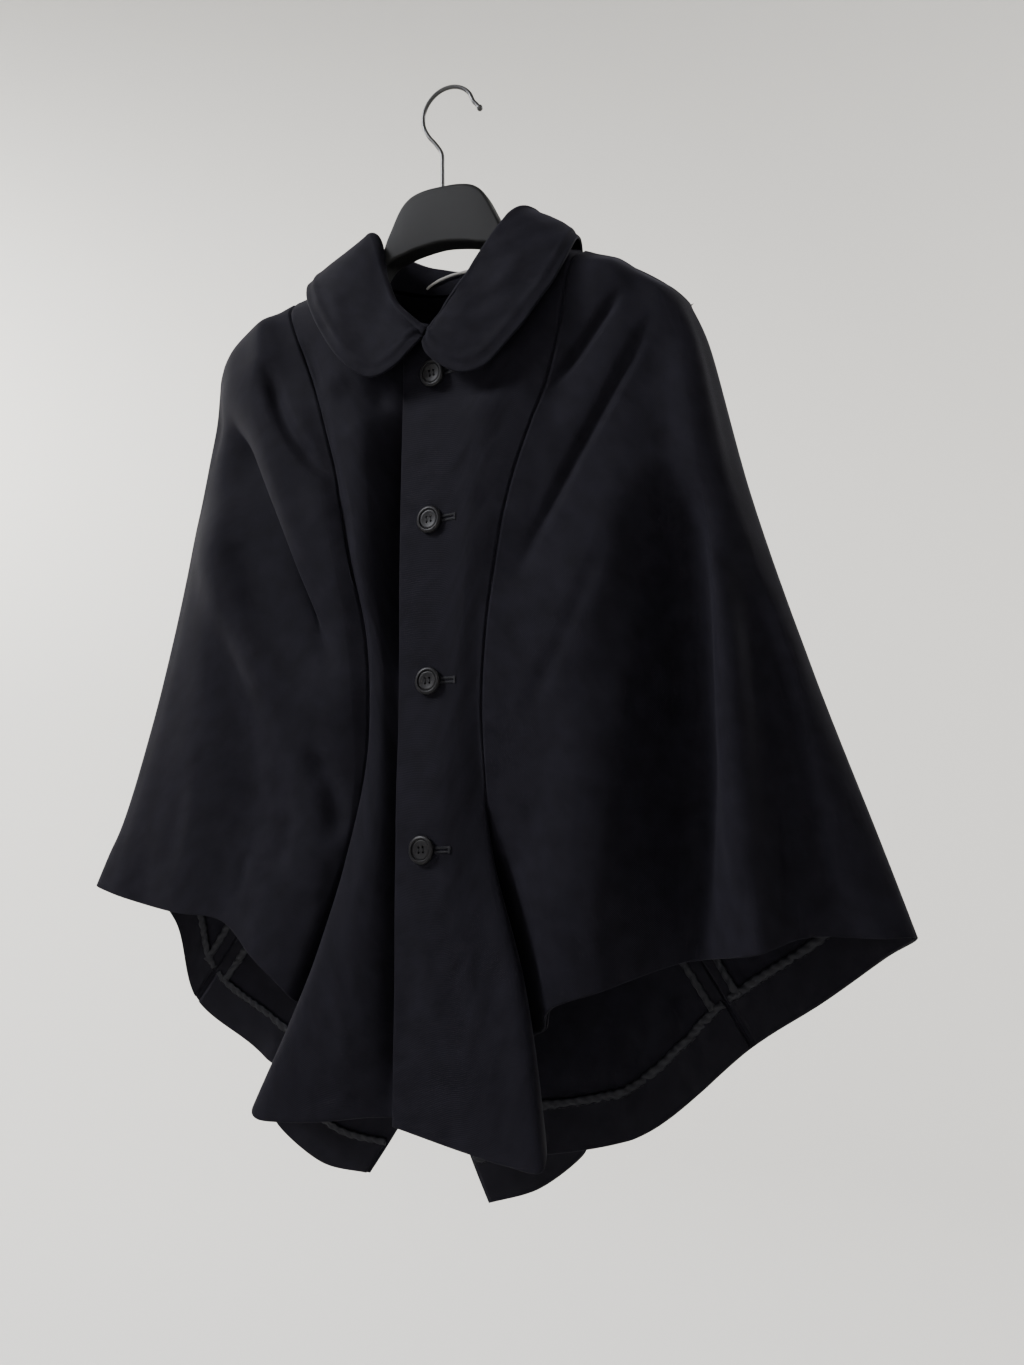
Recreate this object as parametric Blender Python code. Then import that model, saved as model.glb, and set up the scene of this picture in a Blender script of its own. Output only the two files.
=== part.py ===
"""Cape coat of black wool hung on a broad hanger.

The coat has two narrow front panels that button at the centre, a flared cape
piece on each side joined to them by curved seams, side-back and centre-back
panels that fall lower than the front, a round collar and a vent at the back.
Sizes in the tables are millimetres. X runs to the viewer's right, Y to the
back and Z up. The origin is the inner top of the hanger's hook.
"""

import math

import bmesh
import bpy
import numpy as np

for item in list(bpy.data.objects):
    bpy.data.objects.remove(item, do_unlink=True)

MM = 0.001

# Driving dimensions
CLOTH_THICKNESS = 2.0
SEAM_HALF_GAP = 0.18
HEM_DEPTH = 40.0
HEM_THICKNESS = 1.2
LAID_ON_GAP = 0.35
VENT_SPREAD = 117.0
VENT_SKEW = 9.0
VENT_CURVE = 1.3
COLLAR_THICKNESS = 2.4
COLLAR_BULGE = 2.5
COLLAR_FALL_PARTS = (0.34, 0.68)
COLLAR_STATIONS = 35
BUTTON_DIAMETER = 21.6
BUTTON_THICKNESS = 3.8
BUTTON_X = 6.5
BUTTON_HEIGHTS = (-253.0, -371.0, -496.0, -622.0)
BUTTON_SIDES = 20
HOLE_SPACING_RADIUS = 2.6
HOLE_RADIUS = 0.95
HOLE_SIDES = 6
WIRE_DIAMETER = 3.4
HANGER_TILT = 1.8

# Heights that every lengthwise line of the cloth passes through
CHEST_Z = -250.0
RIB_Z = -370.0
WAIST_Z = -500.0
HIP_Z = -610.0

# Rows count these heights down a line: the top is 0, just past the shoulder is 1, the chest is 2
CHEST_ROW = 2
HIP_ROW = 5
SEAT_ROW = 6
HEM_ROW = 7

# How far down and how far out the cloth has come just past the shoulder, on its way to the chest
YOKE_DROP = 0.2
YOKE_REACH = 0.7

# A row is one lengthwise line down the cloth, from the shoulder or neck to the hem.
# The left half starts at the front edge and goes round the side to the centre back.
COLUMNS = (
    "name",
    "top_x", "top_y", "top_z",
    "chest_x", "chest_y",
    "rib_x", "rib_y",
    "waist_x", "waist_y",
    "hip_x", "hip_y",
    "seat_x", "seat_y", "seat_z",
    "hem_x", "hem_y", "hem_z",
)
LEFT_LINES = (
    ("front_edge", -22, -27, -226, -22, -31, -22, -38, -21, -43, -19, -53, -16, -62, -712, -13, -72, -820),
    ("breast", 36, -27, -205, 34, -37, 28, -43, 18, -47, 21, -57, 31, -68, -715, 45, -78, -828),
    ("neck_side", 60, -18, -175, 57, -39, 43, -45, 32, -47, 38, -53, 60, -67, -718, 80, -83, -831),
    ("front_crest", 74, 0, -152, 80, -35, 56, -44, 45, -43, 55, -46, 87, -65, -720, 108, -85, -830),
    ("front_seam", 121, 0, -160, 106, -33, 67, -42, 49, -43, 54, -41, 61, -12, -700, 65, 8, -775),
    ("cape_crest", 133, 0, -165, 122, -31, 84, -42, 66, -44, 73, -45, 84, -44, -680, 94, -42, -749),
    ("cape_bend", 141, 0, -168, 139, -32, 112, -43, 92, -46, 97, -51, 101, -55, -668, 104, -57, -731),
    ("cape_front", 150, 0, -172, 158, -32, 150, -41, 137, -47, 133, -52, 136, -54, -665, 140, -54, -717),
    ("cape_valley", 165, 0, -184, 181, -28, 194, -30, 197, -22, 196, -15, 193, -12, -655, 190, -12, -702),
    ("cape_ridge", 180, 0, -195, 199, -26, 216, -38, 229, -46, 240, -53, 246, -55, -648, 250, -56, -684),
    ("cape_trough", 190, 0, -202, 209, -21, 232, -30, 253, -33, 267, -31, 273, -29, -645, 277, -26, -677),
    ("cape_side", 199, 0, -211, 213, -14, 239, -22, 276, -26, 303, -27, 315, -26, -645, 326, -25, -675),
    ("side_seam", 205, 0, -219, 217, -2, 246, -6, 286, -8, 324, -11, 336, -13, -645, 346, -14, -675),
    ("back_side", 190, 0, -202, 202, 20, 228, 24, 261, 22, 295, 18, 311, 16, -655, 326, 14, -694),
    ("back_wide", 160, 0, -180, 166, 40, 174, 45, 194, 43, 233, 37, 260, 33, -672, 281, 30, -732),
    ("back_seam", 121, 0, -160, 108, 46, 92, 46, 82, 40, 115, 42, 182, 47, -697, 229, 50, -772),
    ("back_panel", 97, 0, -155, 84, 50, 68, 49, 60, 42, 76, 46, 112, 53, -735, 138, 58, -852),
    ("fold_front", 74, 0, -152, 60, 51, 48, 50, 42, 43, 50, 44, 54, 38, -745, 62, 34, -868),
    ("fold_back", 60, 26, -152, 42, 52, 34, 51, 28, 44, 32, 54, 60, 66, -755, 89, 72, -873),
    ("vent_side", 30, 38, -156, 20, 52, 15, 51, 8, 45, 4, 62, 16, 79, -780, 43, 86, -916),
    ("centre_back", 0, 42, -158, -2, 52, -5, 50, -12, 45, -28, 62, -50, 84, -800, -66, 94, -934),
)
RIGHT_LINES = (
    ("front_edge", 22, -20, -218, 22, -24, 22, -31, 21, -36, 20, -46, 18, -55, -708, 16, -64, -815),
    ("breast", -30, -21, -205, -27, -24, -26, -31, -24, -36, -24, -46, -28, -55, -712, -34, -65, -818),
    ("neck_side", -59, -16, -174, -60, -35, -48, -41, -36, -42, -42, -49, -66, -63, -718, -95, -77, -825),
    ("front_crest", -73, 0, -149, -86, -34, -60, -41, -44, -41, -58, -45, -90, -60, -720, -134, -72, -824),
    ("front_seam", -143, 0, -157, -105, -29, -70, -35, -49, -38, -61, -36, -88, -14, -690, -116, 6, -768),
    ("cape_crest", -153, 0, -160, -124, -31, -86, -40, -62, -43, -67, -42, -92, -45, -684, -116, -45, -743),
    ("cape_bend", -159, 0, -162, -137, -34, -103, -43, -80, -46, -87, -47, -106, -49, -672, -127, -50, -731),
    ("cape_front", -166, 0, -164, -152, -36, -124, -45, -104, -47, -116, -47,
     -136, -49, -668, -152, -50, -712),
    ("cape_valley", -180, 0, -171, -175, -30, -162, -39, -152, -39, -168, -38,
     -181, -38, -652, -190, -38, -687),
    ("cape_ridge", -196, 0, -182, -195, -24, -200, -33, -210, -38, -226, -39,
     -232, -38, -650, -238, -36, -683),
    ("cape_trough", -205, 0, -190, -206, -18, -218, -27, -238, -31, -264, -31,
     -273, -30, -648, -282, -28, -678),
    ("cape_side", -213, 0, -199, -214, -11, -234, -18, -262, -22, -298, -23,
     -309, -24, -643, -320, -24, -671),
    ("side_seam", -219, 0, -209, -223, -2, -246, -6, -279, -8, -316, -11, -330, -13, -638, -343, -15, -666),
    ("back_side", -208, 0, -193, -206, 20, -222, 26, -248, 26, -290, 18, -305, 14, -643, -318, 12, -665),
    ("back_wide", -178, 0, -170, -173, 40, -180, 46, -200, 44, -246, 38, -274, 34, -660, -295, 31, -700),
    ("back_seam", -139, 0, -156, -112, 47, -98, 47, -95, 42, -150, 46, -226, 54, -700, -290, 60, -779),
    ("back_panel", -100, 0, -152, -88, 51, -76, 50, -74, 44, -108, 50, -165, 62, -725, -232, 73, -823),
    ("fold_front", -73, 0, -149, -64, 52, -58, 51, -56, 45, -80, 48, -112, 52, -745, -158, 50, -860),
    ("fold_back", -60, 26, -151, -46, 53, -42, 52, -42, 46, -72, 59, -142, 71, -760, -216, 78, -886),
    ("vent_side", -30, 38, -156, -24, 53, -24, 52, -28, 46, -52, 63, -94, 82, -785, -172, 88, -923),
    ("centre_back", 0, 42, -158, -2, 52, -5, 50, -12, 45, -28, 62, -50, 84, -800, -66, 94, -934),
)
LINE_NAMES = [row[0] for row in LEFT_LINES]

# Slanting drag folds on the fronts: where each starts, bends and ends, seen from the front.
# A fold is followed in equal steps, fades out over the last few and is shallow at its ends.
DRAG_STEPS = 16
DRAG_TAPER_STEPS = 4
DRAG_END_SHARE = 0.15
# The folds die out over this many lines before the side seam
DRAG_SIDE_FADE = 1.5
DRAG_COLUMNS = ("x1", "z1", "x2", "z2", "x3", "z3", "depth", "width")
LEFT_DRAGS = (
    (176, -196, 132, -246, 92, -300, 5.0, 18),
    (200, -236, 128, -334, 60, -446, 7.0, 22),
    (190, -330, 150, -400, 96, -520, -4.0, 24),
)
RIGHT_DRAGS = (
    (-158, -212, -130, -288, -78, -346, 5.0, 20),
    (-214, -226, -140, -364, -52, -548, -8.0, 26),
    (-212, -268, -160, -410, -72, -516, 6.0, 24),
    (-196, -420, -168, -520, -152, -640, 4.0, 20),
)

# Pieces of one half: first and last line, and the columns between each two lines
PIECES = (
    ("front", "front_edge", "front_seam", (3, 2, 3, 4)),
    ("cape_front", "front_seam", "side_seam", (3, 2, 2, 3, 2, 2, 2, 3)),
    ("cape_back", "side_seam", "back_seam", (3, 3, 4)),
    ("back", "back_seam", "centre_back", (3, 4, 4, 4, 3)),
)
# Rows down every piece, as places between the heights above, so that seams match
UPPER_ROWS = (0, 0.5, 1, 1.5, 2, 2.5, 3, 3.35, 3.7, 4, 4.35, 4.7)
LOWER_ROWS = 3
HEM_ROWS = 2
# Steps for measuring down the cloth to the hem, and for finding the cloth's outward direction
TRAIL_STEPS = 24
NORMAL_STEP = 0.02

# Half a collar from the centre front to the centre back
COLLAR_COLUMNS = (
    "neck_x", "neck_y", "neck_z", "roll_x", "roll_y", "roll_z",
    "edge_x", "edge_y", "edge_z", "roll_radius",
)
COLLAR_LEFT = (
    (9, -33, -222, 8, -42, -222, 4, -46, -231, 3.0),
    (17, -33, -214, 16, -40, -211, 6, -47, -240, 3.0),
    (27, -32, -206, 24, -38, -199, 18, -48, -252, 3.1),
    (37, -31, -197, 33, -35, -186, 37, -49, -262, 3.2),
    (47, -27, -184, 42, -29, -170, 56, -49, -260, 3.3),
    (56, -22, -171, 50, -23, -153, 76, -47, -242, 3.4),
    (64, -15, -160, 57, -17, -138, 94, -42, -221, 3.5),
    (70, -7, -152, 64, -9, -124, 107, -37, -201, 3.7),
    (72, 3, -149, 70, 0, -117, 116, -28, -178, 3.9),
    (71, 14, -149, 75, 12, -116, 119, -6, -153, 4.1),
    (64, 25, -150, 72, 28, -118, 114, 18, -157, 4.3),
    (50, 33, -152, 57, 40, -122, 101, 46, -182, 4.4),
    (26, 40, -155, 31, 48, -129, 60, 56, -202, 4.5),
    (0, 43, -156, 0, 51, -135, 0, 60, -207, 4.5),
)
COLLAR_RIGHT = (
    (3, -32, -214, 3, -40, -221, 2, -45, -228, 3.0),
    (-12, -30, -209, -13, -37, -206, -6, -47, -236, 3.1),
    (-27, -27, -203, -28, -31, -190, -22, -48, -249, 3.2),
    (-40, -25, -190, -38, -24, -172, -42, -48, -254, 3.3),
    (-51, -20, -176, -46, -18, -153, -67, -47, -238, 3.4),
    (-60, -14, -162, -53, -12, -130, -90, -41, -209, 3.5),
    (-68, -7, -152, -61, -5, -115, -106, -33, -184, 3.7),
    (-71, 3, -147, -68, 3, -112, -118, -21, -162, 4.0),
    (-70, 14, -147, -73, 14, -112, -125, -4, -146, 4.2),
    (-63, 25, -149, -70, 29, -113, -122, 18, -153, 4.3),
    (-50, 33, -151, -56, 40, -118, -105, 47, -180, 4.4),
    (-26, 40, -155, -30, 48, -128, -60, 56, -202, 4.5),
    (0, 43, -156, 0, 51, -135, 0, 60, -207, 4.5),
)

# Sections along one arm of the hanger, from its middle to its tip
HANGER_COLUMNS = ("x", "top", "bottom", "front", "back", "rounding")
HANGER = (
    (0, -85, -133.5, -9, 9, 5),
    (16, -85.7, -135, -9, 9, 5),
    (27, -88.6, -137, -9, 9, 5),
    (34, -93.5, -139, -9, 9, 5),
    (39, -100, -140, -9, 9, 5),
    (45, -111.5, -142.5, -9, 9, 5),
    (51, -124, -147, -9, 9, 5),
    (56, -137, -154, -8, 9, 6),
    (59.5, -151, -165, -7, 9, 6),
    (63, -158.5, -172, -7, 10, 6),
    (75, -161.5, -182, -8, 11, 8),
    (116, -164.2, -192, -12, 12, 10),
    (146, -173.1, -203, -12, 12, 10),
    (168, -190.3, -219, -12, 12, 10),
    (182, -204, -229, -11, 11, 9),
    (190, -215, -231, -7, 7, 6),
)
HANGER_SHIFT = 2.3

# The hook: a stem, a bend to one side and an arc over the top, seen from the front
HOOK_CENTRE_X = 6.0
HOOK_CENTRE_Z = -21.5
HOOK_RADIUS = 23.4
HOOK_STEM = ((0, -84.6), (0, -66), (-0.5, -54), (-6, -44.5), (-12.5, -36))
HOOK_TIP = ((31, -18.5), (34, -22.5), (36.3, -24))

# The hanging loop at the back of the neck
LOOP_WIDTH = 2.6
LOOP_THICKNESS = 1.0
LOOP_PATH = (
    (-36, 37.2, -150),
    (-30, 38.4, -144.5),
    (-14, 41, -138),
    (4, 42, -136.5),
    (22, 40, -140),
    (31, 38, -145.5),
    (36, 36.9, -151),
)


def table(rows, columns):
    """Gives each row of a table as a dictionary by column name."""
    return [dict(zip(columns, row)) for row in rows]


def smooth_curve(points, places):
    """Reads a smooth curve through points at places counted in points from the first."""
    points = np.asarray(points, dtype=float)
    steps = np.sqrt(np.linalg.norm(np.diff(points, axis=0), axis=1)) + 1e-9
    slopes = np.diff(points, axis=0) / steps[:, None]
    tangents = np.empty_like(points)
    tangents[0] = slopes[0]
    tangents[-1] = slopes[-1]
    before, after = steps[:-1, None], steps[1:, None]
    tangents[1:-1] = (slopes[1:] * before + slopes[:-1] * after) / (before + after)
    places = np.clip(np.asarray(places, dtype=float), 0, len(points) - 1)
    first = np.minimum(places.astype(int), len(points) - 2)
    t = (places - first)[:, None]
    span = steps[first][:, None]
    return (
        (2 * t**3 - 3 * t**2 + 1) * points[first]
        + (t**3 - 2 * t**2 + t) * span * tangents[first]
        + (-2 * t**3 + 3 * t**2) * points[first + 1]
        + (t**3 - t**2) * span * tangents[first + 1]
    )


def line_points(row):
    """Gives the eight heights' points of one lengthwise line."""
    top = np.array([row["top_x"], row["top_y"], row["top_z"]], dtype=float)
    chest = np.array([row["chest_x"], row["chest_y"], CHEST_Z], dtype=float)
    yoke = top + (chest - top) * (YOKE_DROP, YOKE_REACH, YOKE_DROP)
    return np.array([
        top,
        yoke,
        chest,
        (row["rib_x"], row["rib_y"], RIB_Z),
        (row["waist_x"], row["waist_y"], WAIST_Z),
        (row["hip_x"], row["hip_y"], HIP_Z),
        (row["seat_x"], row["seat_y"], row["seat_z"]),
        (row["hem_x"], row["hem_y"], row["hem_z"]),
    ])


def smooth_step(value):
    """Rises smoothly from 0 to 1 as value goes from 0 to 1."""
    value = min(max(value, 0.0), 1.0)
    return value * value * (3 - 2 * value)


class Half:
    """One half of the coat as a smooth surface: place 0 is the front edge, row 0 the top."""

    def __init__(self, lines, drags, sign):
        self.lines = [line_points(row) for row in table(lines, COLUMNS)]
        self.drags = []
        for drag in table(drags, DRAG_COLUMNS):
            bends = [(drag[f"x{number}"], drag[f"z{number}"]) for number in (1, 2, 3)]
            self.drags.append((smooth_curve(bends, np.linspace(0, 2, DRAG_STEPS + 1)), drag))
        self.rings = {}
        self.sign = sign
        self.side = LINE_NAMES.index("side_seam")
        self.neck_front = LINE_NAMES.index("front_crest")
        self.neck_back = LINE_NAMES.index("fold_front")
        self.last = len(self.lines) - 1

    def drag_depth(self, point):
        """How far the slanting folds push the front inwards at a point."""
        depth = 0.0
        for path, drag in self.drags:
            gaps = np.hypot(path[:, 0] - point[0], path[:, 1] - point[2])
            nearest = int(np.argmin(gaps))
            ends = smooth_step(min(nearest, DRAG_STEPS - nearest) / DRAG_TAPER_STEPS + DRAG_END_SHARE)
            depth += drag["depth"] * ends * math.exp(-((gaps[nearest] / drag["width"]) ** 2))
        return depth

    def vent_shift(self, row):
        """How far the centre-back edge stands from the centre of the vent."""
        opening = max(row - SEAT_ROW, 0.0) ** VENT_CURVE
        return np.array([VENT_SPREAD, 0.0, -VENT_SKEW]) * (self.sign * 0.5 * opening)

    def ring(self, row):
        """The points of all the lines at one row."""
        if row not in self.rings:
            ring = np.array([smooth_curve(line, [row])[0] for line in self.lines])
            ring[-1] += self.vent_shift(row)
            self.rings[row] = ring
        return self.rings[row]

    def point(self, place, row):
        """The cloth's outer surface."""
        point = smooth_curve(self.ring(row), [place])[0]
        if place < self.side:
            fade = smooth_step(row) * smooth_step((self.side - place) / DRAG_SIDE_FADE)
            point[1] += self.drag_depth(point) * fade
        return point

    def frame(self, place, row):
        """The outward normal and the direction along the ring at a point."""
        step = NORMAL_STEP
        along = self.point(min(place + step, self.last), row) - self.point(max(place - step, 0), row)
        down = self.point(place, min(row + step, HEM_ROW)) - self.point(place, max(row - step, 0))
        normal = np.cross(down, along) * self.sign
        on_shoulder = self.neck_front <= place <= self.neck_back and row == 0
        if on_shoulder:
            normal[1] = 0.0
        if place == self.last:
            normal[0] = 0.0
            along = np.array([-self.sign, 0.0, 0.0])
        return normal / np.linalg.norm(normal), along / np.linalg.norm(along)

    def rows_at(self, place):
        """The rows of a column: even above the hip, then measured up from the hem."""
        rows = np.linspace(HIP_ROW, HEM_ROW, TRAIL_STEPS + 1)
        trail = np.array([self.point(place, row) for row in rows])
        lengths = np.concatenate([[0], np.cumsum(np.linalg.norm(np.diff(trail, axis=0), axis=1))])
        to_hem = lengths[-1] - HEM_DEPTH
        stops = list(np.linspace(0, to_hem, LOWER_ROWS + 1))
        stops += list(np.linspace(to_hem, lengths[-1], HEM_ROWS + 1))[1:]
        return list(UPPER_ROWS) + [float(np.interp(stop, lengths, rows)) for stop in stops]

    def grid(self, first, last, counts):
        """Points and normals of a piece between two lines, its edges drawn in at the seams."""
        places = []
        for index, count in enumerate(counts):
            places += [first + index + step / count for step in range(count)]
        places.append(float(last))
        points, normals = [], []
        for column, place in enumerate(places):
            rows = self.rows_at(place)
            for row in rows:
                point = self.point(place, row)
                normal, along = self.frame(place, row)
                if column == 0 and first > 0:
                    point = point + along * SEAM_HALF_GAP
                if column == len(places) - 1:
                    point = point - along * SEAM_HALF_GAP
                if row == 0 and self.neck_front <= place <= self.neck_back:
                    point[1] = -SEAM_HALF_GAP if place <= self.side and last <= self.side else SEAM_HALF_GAP
                points.append(point)
                normals.append(normal)
        shape = (len(places), -1, 3)
        return np.array(points).reshape(shape), np.array(normals).reshape(shape)


def new_object(name, vertices, faces, material):
    """Makes a mesh object from points in millimetres, its faces pointing out."""
    mesh = bpy.data.meshes.new(name)
    mesh.from_pydata([tuple(float(value) * MM for value in point) for point in vertices], [], faces)
    builder = bmesh.new()
    builder.from_mesh(mesh)
    bmesh.ops.recalc_face_normals(builder, faces=builder.faces)
    bmesh.ops.triangulate(builder, faces=builder.faces, quad_method="FIXED")
    if builder.calc_volume(signed=True) < 0:
        bmesh.ops.reverse_faces(builder, faces=builder.faces)
    builder.to_mesh(mesh)
    builder.free()
    mesh.materials.append(material)
    piece = bpy.data.objects.new(name, mesh)
    bpy.context.scene.collection.objects.link(piece)
    mesh.shade_smooth()
    mesh.set_sharp_from_angle(angle=math.radians(40))
    return piece


def wall(name, outer, inner, material):
    """Closes two grids of points into a wall of cloth."""
    wide, high = outer.shape[:2]
    end, hem = wide - 1, high - 1

    def outside(i, j):
        return i * high + j

    def inside(i, j):
        return wide * high + i * high + j

    faces = []
    for i in range(wide - 1):
        for j in range(high - 1):
            faces.append((outside(i, j), outside(i + 1, j), outside(i + 1, j + 1), outside(i, j + 1)))
            faces.append((inside(i, j), inside(i, j + 1), inside(i + 1, j + 1), inside(i + 1, j)))
    for i in range(wide - 1):
        faces.append((outside(i, 0), inside(i, 0), inside(i + 1, 0), outside(i + 1, 0)))
        faces.append((outside(i, hem), outside(i + 1, hem), inside(i + 1, hem), inside(i, hem)))
    for j in range(high - 1):
        faces.append((outside(0, j), outside(0, j + 1), inside(0, j + 1), inside(0, j)))
        faces.append((outside(end, j), inside(end, j), inside(end, j + 1), outside(end, j + 1)))
    vertices = np.concatenate([outer.reshape(-1, 3), inner.reshape(-1, 3)])
    return new_object(name, vertices, faces, material)


def material(name, colour, roughness, metallic=0.0):
    """Makes a plain material of one colour."""
    made = bpy.data.materials.new(name)
    made.use_nodes = True
    shader = made.node_tree.nodes["Principled BSDF"]
    shader.inputs["Base Color"].default_value = (*colour, 1.0)
    shader.inputs["Roughness"].default_value = roughness
    shader.inputs["Metallic"].default_value = metallic
    made.diffuse_color = (*colour, 1.0)
    return made


def make_cloth(halves, cloth, hem_cloth):
    """Makes the panels of both halves and the turned hems inside the back panels."""
    for side, half in halves.items():
        for name, first, last, counts in PIECES:
            start, end = LINE_NAMES.index(first), LINE_NAMES.index(last)
            outer, normals = half.grid(start, end, counts)
            inner = outer - normals * CLOTH_THICKNESS
            wall(f"{name}_{side}", outer, inner, cloth)
            if name in ("cape_back", "back"):
                rows = slice(-1 - HEM_ROWS, None)
                near = (outer - normals * (CLOTH_THICKNESS + LAID_ON_GAP))[:, rows]
                far = (outer - normals * (CLOTH_THICKNESS + LAID_ON_GAP + HEM_THICKNESS))[:, rows]
                wall(f"turned_hem_{name}_{side}", near, far, hem_cloth)


def collar_profile(row):
    """The face side of the collar across one station: stand, roll and fall."""
    neck = np.array([row["neck_x"], row["neck_y"], row["neck_z"]], dtype=float)
    roll = np.array([row["roll_x"], row["roll_y"], row["roll_z"]], dtype=float)
    edge = np.array([row["edge_x"], row["edge_y"], row["edge_z"]], dtype=float)
    to_neck = (neck - roll) / np.linalg.norm(neck - roll)
    to_edge = (edge - roll) / np.linalg.norm(edge - roll)
    down = (to_neck + to_edge) / np.linalg.norm(to_neck + to_edge)
    out = to_edge - down * np.dot(to_edge, down)
    out /= np.linalg.norm(out)
    radius = row["roll_radius"]
    centre = roll + down * radius
    turn = [
        centre + radius * (-out * math.cos(angle) - down * math.sin(angle))
        for angle in np.radians((0, 45, 90, 135, 180))
    ]
    fall = [
        turn[-1] + (edge - turn[-1]) * part + out * COLLAR_BULGE * math.sin(math.pi * part)
        for part in COLLAR_FALL_PARTS
    ]
    return [neck, (neck + turn[0]) / 2, *turn, *fall, edge]


def make_collar(cloth):
    """Makes the collar as one folded wall round the neck, open at the centre front."""
    left = np.array([collar_profile(row) for row in table(COLLAR_LEFT, COLLAR_COLUMNS)])
    right = np.array([collar_profile(row) for row in table(COLLAR_RIGHT, COLLAR_COLUMNS)])
    stations = np.concatenate([left, right[::-1][1:]])
    places = np.linspace(0, len(stations) - 1, COLLAR_STATIONS)
    face = np.stack([smooth_curve(stations[:, k], places) for k in range(stations.shape[1])], axis=1)
    along = np.gradient(face, axis=0)
    across = np.gradient(face, axis=1)
    normals = np.cross(across, along)
    normals /= np.linalg.norm(normals, axis=2, keepdims=True)
    return wall("collar", face, face - normals * COLLAR_THICKNESS, cloth)


def turned_profile():
    """Radius and height of the button from its back to its dished middle."""
    radius = BUTTON_DIAMETER / 2
    return (
        (0.0, 0.0),
        (radius * 0.80, 0.0),
        (radius * 0.96, 0.8),
        (radius, 1.9),
        (radius * 0.93, BUTTON_THICKNESS - 0.3),
        (radius * 0.82, BUTTON_THICKNESS),
        (radius * 0.70, BUTTON_THICKNESS - 0.8),
        (radius * 0.60, BUTTON_THICKNESS - 1.3),
        (0.0, BUTTON_THICKNESS - 1.5),
    )


def button_seat(half, height):
    """Finds where a button lies at a height: the middle of its back and its outward direction."""
    places = np.linspace(0, 1, 21)
    for row in np.linspace(CHEST_ROW - 0.5, HEM_ROW, 221):
        trail = smooth_curve([half.point(place, row) for place in (0, 0.5, 1)], 2 * places)
        place = float(np.interp(BUTTON_X, trail[:, 0], places))
        centre = half.point(place, row)
        if centre[2] <= height:
            break
    normal, _ = half.frame(place, row)
    reach = BUTTON_DIAMETER / 2
    lift = 0.0
    for nearby_row in np.linspace(row - 0.1, row + 0.1, 9):
        for nearby_place in np.linspace(max(place - 0.3, 0), place + 0.3, 9):
            spot = half.point(nearby_place, nearby_row) - centre
            if np.linalg.norm(spot) <= reach:
                lift = max(lift, float(np.dot(spot, normal)))
    return centre + normal * (lift + LAID_ON_GAP), normal


def make_button(name, half, height, horn):
    """Makes a four-hole button lying on the left front at a height."""
    seat, normal = button_seat(half, height)
    level = np.array([1.0, 0.0, 0.0])
    across = level - normal * np.dot(level, normal)
    across /= np.linalg.norm(across)
    upward = np.cross(normal, across)
    vertices, faces, rings = [], [], []
    for radius, rise in turned_profile():
        if radius == 0.0:
            rings.append([len(vertices)])
            vertices.append(seat + normal * rise)
            continue
        rings.append(list(range(len(vertices), len(vertices) + BUTTON_SIDES)))
        for step in range(BUTTON_SIDES):
            angle = 2 * math.pi * step / BUTTON_SIDES
            spoke = across * math.cos(angle) + upward * math.sin(angle)
            vertices.append(seat + normal * rise + radius * spoke)
    for low, high in zip(rings[:-1], rings[1:]):
        for step in range(BUTTON_SIDES):
            after = (step + 1) % BUTTON_SIDES
            if len(low) == 1:
                faces.append((low[0], high[after], high[step]))
            elif len(high) == 1:
                faces.append((low[step], low[after], high[0]))
            else:
                faces.append((low[step], low[after], high[after], high[step]))
    button = new_object(name, vertices, faces, horn)
    for step in range(4):
        angle = math.radians(50 + 90 * step)
        middle = seat + HOLE_SPACING_RADIUS * (across * math.cos(angle) + upward * math.sin(angle))
        drill = drill_hole(f"{name}_hole_{step}", middle, normal, across, upward, horn)
        cut = button.modifiers.new(f"hole_{step}", "BOOLEAN")
        cut.operation = "DIFFERENCE"
        cut.object = drill
    return button


def drill_hole(name, middle, normal, across, upward, horn):
    """Makes the cutter of one thread hole."""
    vertices = []
    for rise in (-2.0, BUTTON_THICKNESS + 2.0):
        for step in range(HOLE_SIDES):
            angle = math.radians(10 + 360 * step / HOLE_SIDES)
            spoke = across * math.cos(angle) + upward * math.sin(angle)
            vertices.append(middle + normal * rise + HOLE_RADIUS * spoke)
    after = [(step + 1) % HOLE_SIDES for step in range(HOLE_SIDES)]
    faces = [(step, after[step], HOLE_SIDES + after[step], HOLE_SIDES + step) for step in range(HOLE_SIDES)]
    faces += [tuple(range(HOLE_SIDES))[::-1], tuple(range(HOLE_SIDES, 2 * HOLE_SIDES))]
    drill = new_object(name, vertices, faces, horn)
    drill.hide_render = True
    drill.display_type = "WIRE"
    return drill


def sweep(name, path, section, surface):
    """Carries a closed section along a path that lies in upright planes."""
    path = np.asarray(path, dtype=float)
    tangents = np.gradient(path, axis=0)
    tangents /= np.linalg.norm(tangents, axis=1, keepdims=True)
    vertices, faces = [], []
    count = len(section[0])
    side = np.array([0.0, 1.0, 0.0])
    for point, tangent, ring in zip(path, tangents, section):
        level = side - tangent * np.dot(side, tangent)
        level /= np.linalg.norm(level)
        lift = np.cross(tangent, level)
        vertices += [point + level * a + lift * b for a, b in ring]
    for step in range(len(path) - 1):
        for k in range(count):
            after = (k + 1) % count
            base = step * count
            faces.append((base + k, base + after, base + count + after, base + count + k))
    faces += [tuple(range(count))[::-1], tuple(range((len(path) - 1) * count, len(path) * count))]
    return new_object(name, vertices, faces, surface)


def circle(radius, count=8):
    """A round section."""
    return [
        (radius * math.cos(2 * math.pi * k / count), radius * math.sin(2 * math.pi * k / count))
        for k in range(count)
    ]


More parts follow.
